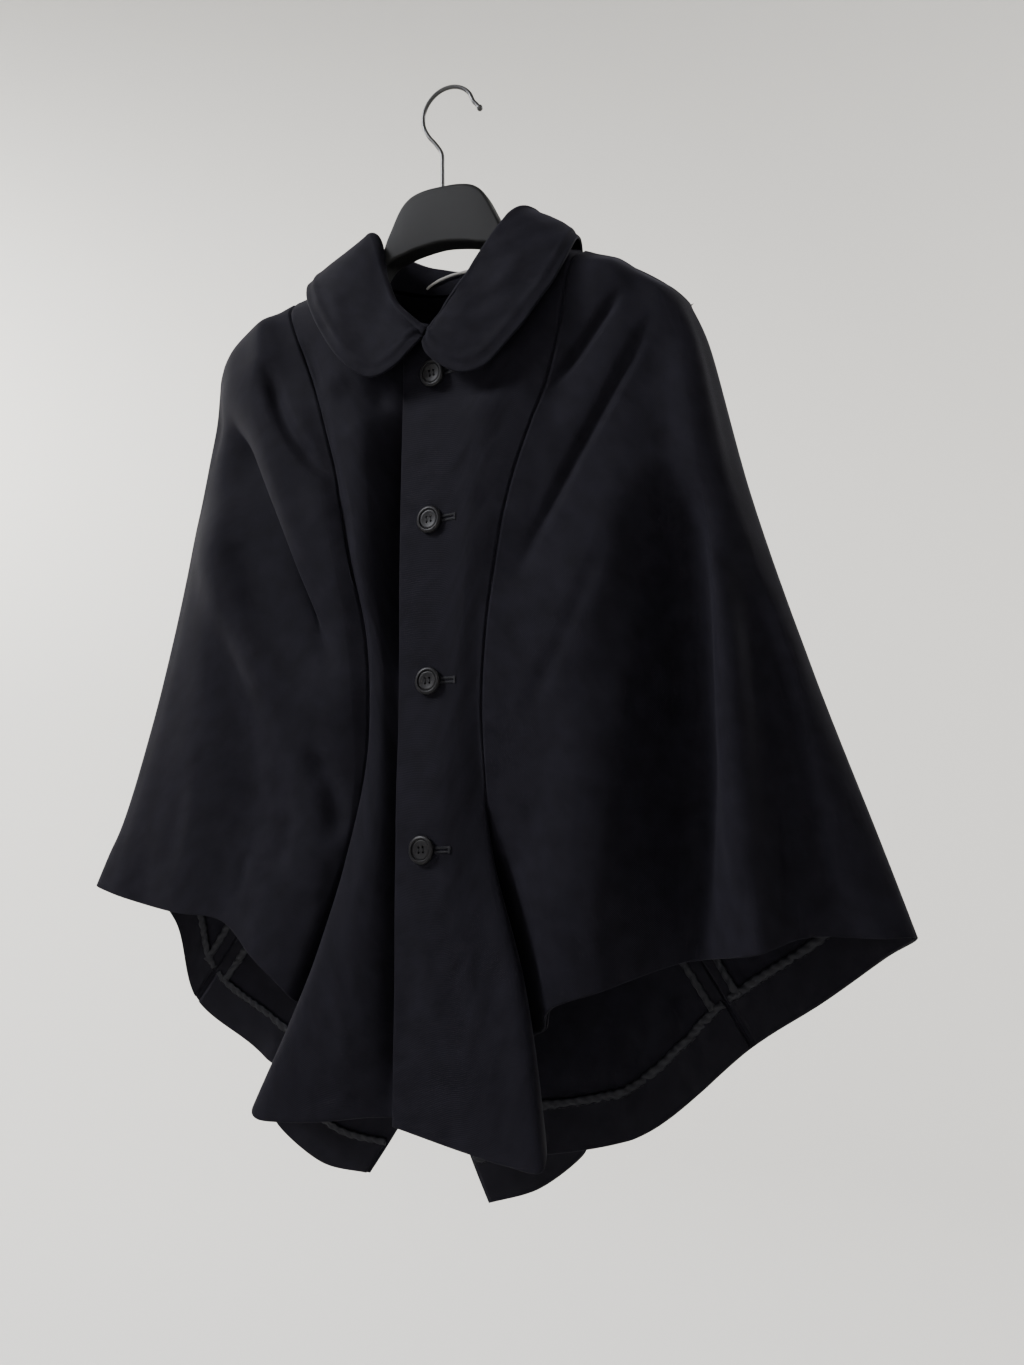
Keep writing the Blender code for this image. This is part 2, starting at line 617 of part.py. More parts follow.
def make_hook(wire):
    """Makes the hook with a small ball at its tip."""
    arc = [
        (HOOK_CENTRE_X + HOOK_RADIUS * math.cos(angle), HOOK_CENTRE_Z + HOOK_RADIUS * math.sin(angle))
        for angle in np.radians(np.linspace(192, 14, 9))
    ]
    outline = [(x, 0.0, z) for x, z in (*HOOK_STEM, *arc, *HOOK_TIP)]
    path = smooth_curve(outline, np.linspace(0, len(outline) - 1, 2 * (len(outline) - 1) + 1))
    radii = [WIRE_DIAMETER / 2] * (len(path) - 4) + [2.3, 2.6, 2.2, 1.0]
    tip = path[-1] - path[-2]
    path[-4:] = [path[-4] + tip / np.linalg.norm(tip) * step for step in (0, 1.3, 2.9, 3.9)]
    return sweep("hanger_hook", path, [circle(radius) for radius in radii], wire)


def hanger_section(row, sign):
    """One section of the hanger: a flat underside and a rounded back."""
    bend = min(row["rounding"], (row["top"] - row["bottom"]) * 0.45)
    front, back, top, bottom = row["front"], row["back"], row["top"], row["bottom"]
    outline = [(front + 1.5, bottom), (front, bottom + 2)]
    for angle in np.radians((0, 45, 90)):
        outline.append((front + bend - bend * math.cos(angle), top - bend + bend * math.sin(angle)))
    for angle in np.radians((90, 45, 0)):
        outline.append((back - bend + bend * math.cos(angle), top - bend + bend * math.sin(angle)))
    outline += [(back, bottom + 2), (back - 1.5, bottom)]
    turn = math.radians(HANGER_TILT)
    x = sign * row["x"]
    return [
        (
            HANGER_SHIFT + x * math.cos(turn) + (z - row["top"]) * math.sin(turn),
            y,
            z - x * math.sin(turn),
        )
        for y, z in outline
    ]


def make_hanger(plastic):
    """Makes the hanger's crown and arms as one moulded piece."""
    rows = table(HANGER, HANGER_COLUMNS)
    sections = [hanger_section(row, -1) for row in rows[:0:-1]] + [hanger_section(row, 1) for row in rows]
    count = len(sections[0])
    vertices = [point for section in sections for point in section]
    faces = []
    for step in range(len(sections) - 1):
        for k in range(count):
            after = (k + 1) % count
            base = step * count
            faces.append((base + k, base + after, base + count + after, base + count + k))
    faces += [tuple(range(count))[::-1], tuple(range((len(sections) - 1) * count, len(sections) * count))]
    return new_object("hanger_body", vertices, faces, plastic)


def make_loop(tape):
    """Makes the narrow hanging loop sewn in at the back of the neck."""
    path = smooth_curve(LOOP_PATH, np.linspace(0, len(LOOP_PATH) - 1, 19))
    half_width, half_thickness = LOOP_WIDTH / 2, LOOP_THICKNESS / 2
    ring = [
        (-half_thickness, -half_width),
        (half_thickness, -half_width),
        (half_thickness, half_width),
        (-half_thickness, half_width),
    ]
    return sweep("neck_loop", path, [ring] * len(path), tape)


halves = {
    "left": Half(LEFT_LINES, LEFT_DRAGS, 1),
    "right": Half(RIGHT_LINES, RIGHT_DRAGS, -1),
}
wool = material("black wool cloth", (0.012, 0.012, 0.014), 0.85)
turned_wool = material("black wool hem", (0.016, 0.016, 0.018), 0.85)
horn = material("black horn", (0.02, 0.018, 0.018), 0.35)
plastic = material("black moulded plastic", (0.015, 0.015, 0.016), 0.6)
wire = material("black coated wire", (0.02, 0.02, 0.02), 0.4, 0.6)
tape = material("grey tape", (0.25, 0.24, 0.24), 0.7)

make_cloth(halves, wool, turned_wool)
make_collar(wool)
for number, height in enumerate(BUTTON_HEIGHTS, start=1):
    make_button(f"button_{number}", halves["left"], height, horn)
make_hanger(plastic)
make_hook(wire)
make_loop(tape)
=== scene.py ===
import math

import bpy
import numpy as np
from mathutils import Matrix, Vector


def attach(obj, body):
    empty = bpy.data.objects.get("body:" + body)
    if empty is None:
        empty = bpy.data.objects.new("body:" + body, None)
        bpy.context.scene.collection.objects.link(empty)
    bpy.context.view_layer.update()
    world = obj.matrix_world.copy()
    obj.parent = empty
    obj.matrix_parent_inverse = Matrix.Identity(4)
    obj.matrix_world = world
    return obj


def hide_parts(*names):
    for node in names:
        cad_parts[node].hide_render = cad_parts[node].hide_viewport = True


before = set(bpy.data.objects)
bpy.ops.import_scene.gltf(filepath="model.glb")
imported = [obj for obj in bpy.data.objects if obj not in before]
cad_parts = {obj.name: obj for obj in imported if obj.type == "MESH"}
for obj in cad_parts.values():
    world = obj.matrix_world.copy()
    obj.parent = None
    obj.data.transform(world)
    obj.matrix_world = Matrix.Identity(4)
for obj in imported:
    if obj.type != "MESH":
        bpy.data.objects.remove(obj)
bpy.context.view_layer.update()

# %% [markdown]
# All sizes below are in millimetres, as a pattern cutter would write them, and are turned to
# Blender's metres only when a mesh is made. One helper turns a colour from a hex value, which is how
# a dye or a paint chip is usually given, to the linear light that a shader wants. Another puts a
# finished mesh in the scene.
# %% Units, colours and objects
MM = 0.001


def linear(hex_colour):
    """Turns an sRGB hex colour to linear values with full alpha."""
    parts = [int(hex_colour[start:start + 2], 16) / 255 for start in (1, 3, 5)]
    straight = [part / 12.92 if part <= 0.04045 else ((part + 0.055) / 1.055) ** 2.4 for part in parts]
    return (*straight, 1.0)


def link(name, data):
    """Puts a mesh, light or camera in the scene as an object at the origin."""
    made = bpy.data.objects.new(name, data)
    bpy.context.scene.collection.objects.link(made)
    return made


# %% [markdown]
# The camera stands low, to the right of the coat, and looks up a little, as the coat was seen. The
# view is wide, so near parts look large. A camera is easiest to aim by its three own directions:
# right, up and back, which are the columns of its rotation.
# %% Camera
CAMERA_PLACE = (351.0, -744.0, -548.0)
CAMERA_TURN = 21.6
CAMERA_LIFT = 3.7
CAMERA_ROLL = 0.7
LENS_MM = 27.0
SENSOR_MM = 36.0


def make_camera():
    """Makes the camera from its place and three angles in degrees."""
    turn, lift, roll = (math.radians(angle) for angle in (CAMERA_TURN, CAMERA_LIFT, CAMERA_ROLL))
    ahead = Vector((-math.sin(turn) * math.cos(lift), math.cos(turn) * math.cos(lift), math.sin(lift)))
    level = Vector((math.cos(turn), math.sin(turn), 0.0))
    upward = level.cross(ahead)
    right = level * math.cos(roll) - upward * math.sin(roll)
    upward = level * math.sin(roll) + upward * math.cos(roll)
    data = bpy.data.cameras.new("camera")
    data.lens = LENS_MM
    data.sensor_width = SENSOR_MM
    camera = link("camera", data)
    columns = Matrix((right, upward, -ahead)).transposed()
    camera.matrix_world = Matrix.Translation(Vector(CAMERA_PLACE) * MM) @ columns.to_4x4()
    bpy.context.scene.camera = camera
    return camera


camera = make_camera()
print("camera at", [round(value, 3) for value in camera.matrix_world.translation])

# %% [markdown]
# A shader is a small graph. Building one by hand in code takes many lines, so one function adds a
# node, sets its own settings and fills its inputs, with a value or with another node's output.
# %% Adding a node
def fill(tree, node, inputs):
    """Fills a node's inputs, by name or number, with values or with the sockets that feed them."""
    for name, value in inputs.items():
        if isinstance(value, bpy.types.NodeSocket):
            tree.links.new(value, node.inputs[name])
        else:
            node.inputs[name].default_value = value


def add(tree, kind, inputs=None, **settings):
    """Adds a node to a tree with its settings, and fills its inputs."""
    node = tree.nodes.new(kind)
    for name, value in settings.items():
        setattr(node, name, value)
    fill(tree, node, inputs or {})
    return node


def new_material(name, values):
    """Makes a material whose Principled shader has the given fixed values."""
    made = bpy.data.materials.new(name)
    made.use_nodes = True
    tree = made.node_tree
    shader = tree.nodes["Principled BSDF"]
    fill(tree, shader, values)
    return made, tree, shader


def stops(tree, value, colours):
    """Adds a colour ramp: colours are (place, hex colour), from 0 to 1."""
    ramp = add(tree, "ShaderNodeValToRGB", {"Fac": value})
    edges = ramp.color_ramp.elements
    while len(edges) < len(colours):
        edges.new(0.5)
    for edge, (place, colour) in zip(edges, colours):
        edge.position = place
        edge.color = linear(colour)
    return ramp.outputs["Color"]


# %% [markdown]
# The room is a plain pale bowl: a floor that turns up into a wall all round, so that every view has
# the same quiet ground and no horizon line. It is a turned profile, which is a loop over angles.
# %% Pale floor and wall
ROOM_RADIUS = 3400.0
ROOM_FILLET = 1300.0
ROOM_FLOOR_Z = -1650.0
ROOM_TOP_Z = 5200.0
ROOM_SIDES = 96


def make_room():
    """Makes the bowl with its faces towards the coat."""
    profile = [(0.0, ROOM_FLOOR_Z), (ROOM_RADIUS - ROOM_FILLET, ROOM_FLOOR_Z)]
    for angle in np.radians(np.linspace(8, 90, 12)):
        reach = ROOM_RADIUS - ROOM_FILLET + ROOM_FILLET * math.sin(angle)
        profile.append((reach, ROOM_FLOOR_Z + ROOM_FILLET * (1 - math.cos(angle))))
    profile.append((ROOM_RADIUS, ROOM_TOP_Z))
    vertices = [(0.0, 0.0, ROOM_FLOOR_Z * MM)]
    for reach, height in profile[1:]:
        for angle in np.linspace(0, 2 * math.pi, ROOM_SIDES, endpoint=False):
            vertices.append((reach * math.cos(angle) * MM, reach * math.sin(angle) * MM, height * MM))
    faces = [(0, 1 + k, 1 + (k + 1) % ROOM_SIDES) for k in range(ROOM_SIDES)]
    for ring in range(len(profile) - 2):
        base = 1 + ring * ROOM_SIDES
        for k in range(ROOM_SIDES):
            after = (k + 1) % ROOM_SIDES
            faces.append((base + after, base + k, base + ROOM_SIDES + k, base + ROOM_SIDES + after))
    mesh = bpy.data.meshes.new("pale_room")
    mesh.from_pydata(vertices, [], faces)
    mesh.shade_smooth()
    room = link("pale_room", mesh)
    paint, _, _ = new_material(
        "matt white emulsion paint",
        {"Base Color": linear("#cfcecb"), "Roughness": 0.95, "Specular IOR Level": 0.2},
    )
    mesh.materials.append(paint)
    return room


room = make_room()
print("room:", len(room.data.polygons), "faces")

# %% [markdown]
# Black cloth shows its folds only by the direction of the light. A large soft light stands to the
# left and in front, as a window does. Two faint glows stand for what the floor and the ceiling send
# back, and a stronger one lights the back. Two more light the wall and hardly touch the coat, so the
# wall is bright while the coat keeps its shadows. A weak sky fills the rest.
# %% Lights
# Each light has its place, the place that it points at, its width, its watts and its colour
LIGHTS = (
    ("window", (-1990.0, -1300.0, 1330.0), (0.0, 0.0, -480.0), 900.0, 156.0, "#f6f8ff"),
    ("floor glow", (-300.0, -2000.0, -1350.0), (0.0, 0.0, -600.0), 1000.0, 7.0, "#f8f6f4"),
    ("ceiling glow", (-500.0, -1300.0, 1800.0), (0.0, 0.0, -250.0), 1100.0, 7.0, "#f8f7f5"),
    ("back glow", (1900.0, 1350.0, 900.0), (0.0, 0.0, -480.0), 800.0, 60.0, "#f7f8fb"),
    ("left wall light", (-2430.0, 300.0, 700.0), (-1500.0, 2800.0, 350.0), 900.0, 140.0, "#fffdf7"),
    ("right wall light", (2100.0, 900.0, 500.0), (600.0, 3300.0, 300.0), 900.0, 34.0, "#fff6e8"),
)
SKY_STRENGTH = 0.1


def make_lights():
    """Makes the area lights, each turned to the place that it points at, and the sky."""
    for name, place, aim, size, power, colour in LIGHTS:
        data = bpy.data.lights.new(name, "AREA")
        data.shape = "DISK"
        data.size = size * MM
        data.energy = power
        data.color = linear(colour)[:3]
        light = link(name, data)
        light.location = Vector(place) * MM
        light.rotation_euler = (Vector(place) - Vector(aim)).to_track_quat("Z", "Y").to_euler()
        light.visible_camera = False
    world = bpy.data.worlds.new("soft sky")
    world.use_nodes = True
    background = world.node_tree.nodes["Background"]
    background.inputs["Color"].default_value = linear("#f1f3f6")
    background.inputs["Strength"].default_value = SKY_STRENGTH
    bpy.context.scene.world = world


make_lights()
print("lights:", [name for name, *_ in LIGHTS])

# %% [markdown]
# The cloth is a worsted twill in black, brushed so that a short nap lies over the weave. Black wool
# is never quite black: the nap catches light at grazing angles and turns faintly blue, which is what
# makes the folds readable. Twill is a set of slanting ribs. Their real spacing is 0.7 mm, finer than
# the picture can show, so they are drawn a little coarser. They are laid on the cloth's own UV map,
# in metres, so that they follow each panel and never slide through a fold.
# %% Black wool twill
# Sizes in millimetres: a rib as drawn, a tuft of the nap and a patch of painted lustre, where the brushed
# nap's sheen is laid into the colour. The long digits here and below keep a pattern's scale a round number.
TWILL_RIB = 1.15
NAP_GRAIN = 0.55
PAINTED_LUSTRE_PATCH = 18.181818
TWILL_ANGLE = 58.0
# A wave texture of scale 1 repeats every 0.314 m, because its sine runs over 20 radians a metre
WAVE_UNIT = 0.314


def cloth_coordinates(tree, angle):
    """Gives the cloth's UV map, in metres, turned by an angle."""
    place = add(tree, "ShaderNodeUVMap", uv_map="cloth")
    return add(
        tree, "ShaderNodeMapping",
        {"Vector": place.outputs["UV"], "Rotation": (0.0, 0.0, math.radians(angle))},
    ).outputs["Vector"]


def black_wool(name, dark, light, angle=TWILL_ANGLE):
    """Wool twill: slanting ribs under a short nap, with patches of painted lustre that make its colour
    uneven.
    """
    made, tree, shader = new_material(name, {
        "Roughness": 0.82,
        "IOR": 1.5,
        "Specular IOR Level": 0.05,
        "Sheen Weight": 0.035,
        "Sheen Roughness": 0.4,
        "Sheen Tint": linear("#b3b1c4"),
    })
    along = cloth_coordinates(tree, angle)
    flat = cloth_coordinates(tree, 0.0)
    ribs = add(
        tree, "ShaderNodeTexWave",
        {
            "Vector": along, "Scale": WAVE_UNIT / (TWILL_RIB * MM), "Distortion": 1.1,
            "Detail": 2.0, "Detail Scale": 1.6, "Detail Roughness": 0.6,
        },
        wave_type="BANDS", bands_direction="X", wave_profile="SIN",
    ).outputs["Fac"]
    nap = add(
        tree, "ShaderNodeTexNoise",
        {"Vector": flat, "Scale": 1 / (NAP_GRAIN * MM), "Detail": 3.0, "Roughness": 0.65},
    ).outputs["Fac"]
    # Painted lustre: random patches where the brushed nap would catch more or less light, laid into the
    # colour
    lustre_patches = add(
        tree, "ShaderNodeTexNoise",
        {"Vector": flat, "Scale": 1 / (PAINTED_LUSTRE_PATCH * MM), "Detail": 4.0, "Roughness": 0.6},
    ).outputs["Fac"]
    relief = add(
        tree, "ShaderNodeMix", {"Factor": 0.45, "A": ribs, "B": nap}, data_type="FLOAT",
    ).outputs["Result"]
    bump = add(tree, "ShaderNodeBump", {"Strength": 0.38, "Distance": 0.22 * MM, "Height": relief})
    # The colour mixes the nap's tufts with the painted lustre patches
    nap_and_painted_lustre = add(
        tree, "ShaderNodeMix", {"Factor": 0.4, "A": lustre_patches, "B": nap}, data_type="FLOAT",
    ).outputs["Result"]
    colour = stops(tree, nap_and_painted_lustre, ((0.3, dark), (0.7, light)))
    fill(tree, shader, {"Base Color": colour, "Normal": bump.outputs["Normal"]})
    return made


wool = black_wool("black wool twill, brushed", "#0b0a0e", "#16151b")
hem_wool = black_wool("black wool twill, wrong side", "#0d0c10", "#17161b", angle=-TWILL_ANGLE)
print("cloth finishes:", wool.name, "and", hem_wool.name)

# %% [markdown]
# Raw edges inside the coat are bound with bias-cut satin. Satin has long floats, so it is smoother
# and brighter than the wool beside it. The fine lines run across the strip, where bias tape creases.
# The hanging loop is a lighter twill tape, and all sewing is done in black spun thread.
# %% Binding, tape and thread
# Sizes in millimetres: a float line of the satin, a rib of the tape and a twist of the thread
SATIN_LINE = 0.9
TAPE_LINE = 0.8
THREAD_TWIST = 0.3


def satin_binding():
    """Bias-cut satin: soft gloss broken by slanting float lines."""
    made, tree, shader = new_material("black bias satin", {
        "Roughness": 0.55,
        "Specular IOR Level": 0.12,
    })
    along = cloth_coordinates(tree, 45.0)
    floats = add(
        tree, "ShaderNodeTexWave",
        {"Vector": along, "Scale": WAVE_UNIT / (SATIN_LINE * MM), "Distortion": 0.6, "Detail": 1.0},
        wave_type="BANDS", bands_direction="X",
    ).outputs["Fac"]
    bump = add(tree, "ShaderNodeBump", {"Strength": 0.2, "Distance": 0.12 * MM, "Height": floats})
    colour = stops(tree, floats, ((0.1, "#121215"), (0.9, "#1b1b20")))
    fill(tree, shader, {"Base Color": colour, "Normal": bump.outputs["Normal"]})
    return made


def loop_tape():
    """Narrow grey tape for the hanging loop, with cross ribs."""
    made, tree, shader = new_material("grey rib tape", {"Roughness": 0.6, "Sheen Weight": 0.1})
    along = cloth_coordinates(tree, 90.0)
    ribs = add(
        tree, "ShaderNodeTexWave",
        {"Vector": along, "Scale": WAVE_UNIT / (TAPE_LINE * MM), "Distortion": 0.3},
        wave_type="BANDS", bands_direction="X",
    ).outputs["Fac"]
    bump = add(tree, "ShaderNodeBump", {"Strength": 0.3, "Distance": 0.15 * MM, "Height": ribs})
    colour = stops(tree, ribs, ((0.0, "#77746f"), (1.0, "#94918b")))
    fill(tree, shader, {"Base Color": colour, "Normal": bump.outputs["Normal"]})
    return made


def spun_thread():
    """Black spun polyester thread: slightly glossy, with fine lengthwise fibres."""
    made, tree, shader = new_material("black spun thread", {"Roughness": 0.6, "Specular IOR Level": 0.2})
    place = add(tree, "ShaderNodeTexCoord").outputs["Object"]
    fibres = add(
        tree, "ShaderNodeTexNoise", {"Vector": place, "Scale": 1 / (THREAD_TWIST * MM), "Detail": 2.0},
    ).outputs["Fac"]
    colour = stops(tree, fibres, ((0.35, "#111114"), (0.65, "#1a1a1e")))
    fill(tree, shader, {"Base Color": colour})
    return made


satin = satin_binding()
tape = loop_tape()
thread = spun_thread()
print("sewn finishes:", satin.name, tape.name, thread.name)

# %% [markdown]
# The buttons look like horn: cast resin in brown-black with faint clouded streaks, tumbled to a
# soft polish. The hanger is moulded in charcoal plastic from a spark-eroded tool, which leaves a
# fine even grain. Its hook is steel wire with a thin black coat that lies smooth and half glossy.
# %% Button resin, moulded plastic and coated wire
# Sizes in millimetres: a cloud and a tumbling mark of the resin, a grain and a dusty patch of the
# plastic, and a flow mark of the wire's coat
RESIN_CLOUD = 5.882353
TUMBLING_MARK = 0.38461538
MOULD_GRAIN = 0.7
DUSTY_PATCH = 16.666667
FLOW_MARK = 4.5454545


def horn_resin():
    """Cast resin that imitates horn: clouded streaks under a tumbled polish."""
    made, tree, shader = new_material("cast resin, horn effect", {
        "Roughness": 0.4,
        "IOR": 1.54,
        "Specular IOR Level": 0.14,
    })
    place = add(tree, "ShaderNodeTexCoord").outputs["Object"]
    stretched = add(
        tree, "ShaderNodeMapping", {"Vector": place, "Scale": (1.0, 1.0, 0.35)},
    ).outputs["Vector"]
    clouds = add(
        tree, "ShaderNodeTexNoise",
        {"Vector": stretched, "Scale": 1 / (RESIN_CLOUD * MM), "Detail": 5.0, "Distortion": 1.4},
    ).outputs["Fac"]
    scratches = add(
        tree, "ShaderNodeTexNoise",
        {"Vector": place, "Scale": 1 / (TUMBLING_MARK * MM), "Detail": 2.0},
    ).outputs["Fac"]
    colour = stops(tree, clouds, ((0.38, "#0a090b"), (0.55, "#0f0e10"), (0.72, "#171617")))
    rough = add(
        tree, "ShaderNodeMapRange", {"Value": scratches, "To Min": 0.36, "To Max": 0.48},
    ).outputs["Result"]
    fill(tree, shader, {"Base Color": colour, "Roughness": rough})
    return made


def moulded_plastic():
    """Charcoal plastic with the fine grain of a spark-eroded mould."""
    made, tree, shader = new_material("moulded charcoal polystyrene", {
        "Roughness": 0.56,
        "IOR": 1.59,
        "Specular IOR Level": 0.13,
    })
    place = add(tree, "ShaderNodeTexCoord").outputs["Object"]
    grain = add(
        tree, "ShaderNodeTexVoronoi", {"Vector": place, "Scale": 1 / (MOULD_GRAIN * MM)}, feature="F1",
    ).outputs["Distance"]
    dust = add(
        tree, "ShaderNodeTexNoise",
        {"Vector": place, "Scale": 1 / (DUSTY_PATCH * MM), "Detail": 6.0},
    ).outputs["Fac"]
    bump = add(tree, "ShaderNodeBump", {"Strength": 0.22, "Distance": 0.08 * MM, "Height": grain})
    colour = stops(tree, dust, ((0.35, "#121212"), (0.7, "#171717")))
    rough = add(
        tree, "ShaderNodeMapRange", {"Value": dust, "To Min": 0.6, "To Max": 0.72},
    ).outputs["Result"]
    fill(tree, shader, {"Base Color": colour, "Roughness": rough, "Normal": bump.outputs["Normal"]})
    return made


def coated_wire():
    """Steel wire with a thin black coat, slightly uneven where it was bent."""
    made, tree, shader = new_material("black coated steel wire", {
        "Roughness": 0.34,
        "IOR": 1.5,
        "Coat Weight": 0.15,
    })
    place = add(tree, "ShaderNodeTexCoord").outputs["Object"]
    flow = add(
        tree, "ShaderNodeTexNoise",
        {"Vector": place, "Scale": 1 / (FLOW_MARK * MM), "Detail": 3.0},
    ).outputs["Fac"]
    bump = add(tree, "ShaderNodeBump", {"Strength": 0.12, "Distance": 0.1 * MM, "Height": flow})
    rough = add(
        tree, "ShaderNodeMapRange", {"Value": flow, "To Min": 0.28, "To Max": 0.44},
    ).outputs["Result"]
    colour = stops(tree, flow, ((0.3, "#141414"), (0.7, "#1d1d1d")))
    fill(tree, shader, {"Base Color": colour, "Roughness": rough, "Normal": bump.outputs["Normal"]})
    return made


horn = horn_resin()
plastic = moulded_plastic()
wire = coated_wire()
print("hard finishes:", horn.name, plastic.name, wire.name)

# %% [markdown]
# The coat is one smooth skin cut into panels. A maker thinks of it as lines running down the cloth,
# from the neck or shoulder to the hem: along a fold's crest, along its valley, along a seam. Each
# row below is one such line with its place at eight heights. The left half starts at the front edge
# and goes round the side to the centre back, and the right half does the same in mirror order.
# %% Lines down the cloth
# Heights that every line passes through, apart from its top, its place at the seat and its hem
CHEST_Z = -250.0
RIB_Z = -370.0
WAIST_Z = -500.0
HIP_Z = -610.0

# Rows count the eight heights down a line, from 0 at the top: these are the last two
SEAT_ROW = 6
HEM_ROW = 7

# How far down and how far out the cloth has come just past the shoulder, on its way to the chest
YOKE_DROP = 0.2
YOKE_REACH = 0.7

COLUMNS = (
    "name",
    "top_x", "top_y", "top_z",
    "chest_x", "chest_y",
    "rib_x", "rib_y",
    "waist_x", "waist_y",
    "hip_x", "hip_y",
    "seat_x", "seat_y", "seat_z",
    "hem_x", "hem_y", "hem_z",
)
LEFT_LINES = (
    ("front_edge", -22, -27, -226, -22, -31, -22, -38, -21, -43, -19, -53, -16, -62, -712, -13, -72, -820),
    ("breast", 36, -27, -205, 34, -37, 28, -43, 18, -47, 21, -57, 31, -68, -715, 45, -78, -828),
    ("neck_side", 60, -18, -175, 57, -39, 43, -45, 32, -47, 38, -53, 60, -67, -718, 80, -83, -831),
    ("front_crest", 74, 0, -152, 80, -35, 56, -44, 45, -43, 55, -46, 87, -65, -720, 108, -85, -830),
    ("front_seam", 121, 0, -160, 106, -33, 67, -42, 49, -43, 54, -41, 61, -12, -700, 65, 8, -775),
    ("cape_crest", 133, 0, -165, 122, -31, 84, -42, 66, -44, 73, -45, 84, -44, -680, 94, -42, -749),
    ("cape_bend", 141, 0, -168, 139, -32, 112, -43, 92, -46, 97, -51, 101, -55, -668, 104, -57, -731),
    ("cape_front", 150, 0, -172, 158, -32, 150, -41, 137, -47, 133, -52, 136, -54, -665, 140, -54, -717),
    ("cape_valley", 165, 0, -184, 181, -28, 194, -30, 197, -22, 196, -15, 193, -12, -655, 190, -12, -702),
    ("cape_ridge", 180, 0, -195, 199, -26, 216, -38, 229, -46, 240, -53, 246, -55, -648, 250, -56, -684),
    ("cape_trough", 190, 0, -202, 209, -21, 232, -30, 253, -33, 267, -31, 273, -29, -645, 277, -26, -677),
    ("cape_side", 199, 0, -211, 213, -14, 239, -22, 276, -26, 303, -27, 315, -26, -645, 326, -25, -675),
    ("side_seam", 205, 0, -219, 217, -2, 246, -6, 286, -8, 324, -11, 336, -13, -645, 346, -14, -675),
    ("back_side", 190, 0, -202, 202, 20, 228, 24, 261, 22, 295, 18, 311, 16, -655, 326, 14, -694),
    ("back_wide", 160, 0, -180, 166, 40, 174, 45, 194, 43, 233, 37, 260, 33, -672, 281, 30, -732),
    ("back_seam", 121, 0, -160, 108, 46, 92, 46, 82, 40, 115, 42, 182, 47, -697, 229, 50, -772),
    ("back_panel", 97, 0, -155, 84, 50, 68, 49, 60, 42, 76, 46, 112, 53, -735, 138, 58, -852),
    ("fold_front", 74, 0, -152, 60, 51, 48, 50, 42, 43, 50, 44, 54, 38, -745, 62, 34, -868),
    ("fold_back", 60, 26, -152, 42, 52, 34, 51, 28, 44, 32, 54, 60, 66, -755, 89, 72, -873),
    ("vent_side", 30, 38, -156, 20, 52, 15, 51, 8, 45, 4, 62, 16, 79, -780, 43, 86, -916),
    ("centre_back", 0, 42, -158, -2, 52, -5, 50, -12, 45, -28, 62, -50, 84, -800, -66, 94, -934),
)
RIGHT_LINES = (
    ("front_edge", 22, -20, -218, 22, -24, 22, -31, 21, -36, 20, -46, 18, -55, -708, 16, -64, -815),
    ("breast", -30, -21, -205, -27, -24, -26, -31, -24, -36, -24, -46, -28, -55, -712, -34, -65, -818),
    ("neck_side", -59, -16, -174, -60, -35, -48, -41, -36, -42, -42, -49, -66, -63, -718, -95, -77, -825),
    ("front_crest", -73, 0, -149, -86, -34, -60, -41, -44, -41, -58, -45, -90, -60, -720, -134, -72, -824),
    ("front_seam", -143, 0, -157, -105, -29, -70, -35, -49, -38, -61, -36, -88, -14, -690, -116, 6, -768),
    ("cape_crest", -153, 0, -160, -124, -31, -86, -40, -62, -43, -67, -42, -92, -45, -684, -116, -45, -743),
    ("cape_bend", -159, 0, -162, -137, -34, -103, -43, -80, -46, -87, -47,
     -106, -49, -672, -127, -50, -731),
    ("cape_front", -166, 0, -164, -152, -36, -124, -45, -104, -47, -116, -47,
     -136, -49, -668, -152, -50, -712),
    ("cape_valley", -180, 0, -171, -175, -30, -162, -39, -152, -39, -168, -38,
     -181, -38, -652, -190, -38, -687),
    ("cape_ridge", -196, 0, -182, -195, -24, -200, -33, -210, -38, -226, -39,
     -232, -38, -650, -238, -36, -683),
    ("cape_trough", -205, 0, -190, -206, -18, -218, -27, -238, -31, -264, -31,
     -273, -30, -648, -282, -28, -678),
    ("cape_side", -213, 0, -199, -214, -11, -234, -18, -262, -22, -298, -23,
     -309, -24, -643, -320, -24, -671),
    ("side_seam", -219, 0, -209, -223, -2, -246, -6, -279, -8, -316, -11, -330, -13, -638, -343, -15, -666),
    ("back_side", -208, 0, -193, -206, 20, -222, 26, -248, 26, -290, 18, -305, 14, -643, -318, 12, -665),
    ("back_wide", -178, 0, -170, -173, 40, -180, 46, -200, 44, -246, 38, -274, 34, -660, -295, 31, -700),
    ("back_seam", -139, 0, -156, -112, 47, -98, 47, -95, 42, -150, 46, -226, 54, -700, -290, 60, -779),
    ("back_panel", -100, 0, -152, -88, 51, -76, 50, -74, 44, -108, 50, -165, 62, -725, -232, 73, -823),
    ("fold_front", -73, 0, -149, -64, 52, -58, 51, -56, 45, -80, 48, -112, 52, -745, -158, 50, -860),
    ("fold_back", -60, 26, -151, -46, 53, -42, 52, -42, 46, -72, 59, -142, 71, -760, -216, 78, -886),
    ("vent_side", -30, 38, -156, -24, 53, -24, 52, -28, 46, -52, 63, -94, 82, -785, -172, 88, -923),
    ("centre_back", 0, 42, -158, -2, 52, -5, 50, -12, 45, -28, 62, -50, 84, -800, -66, 94, -934),
)
LINE_NAMES = [row[0] for row in LEFT_LINES]

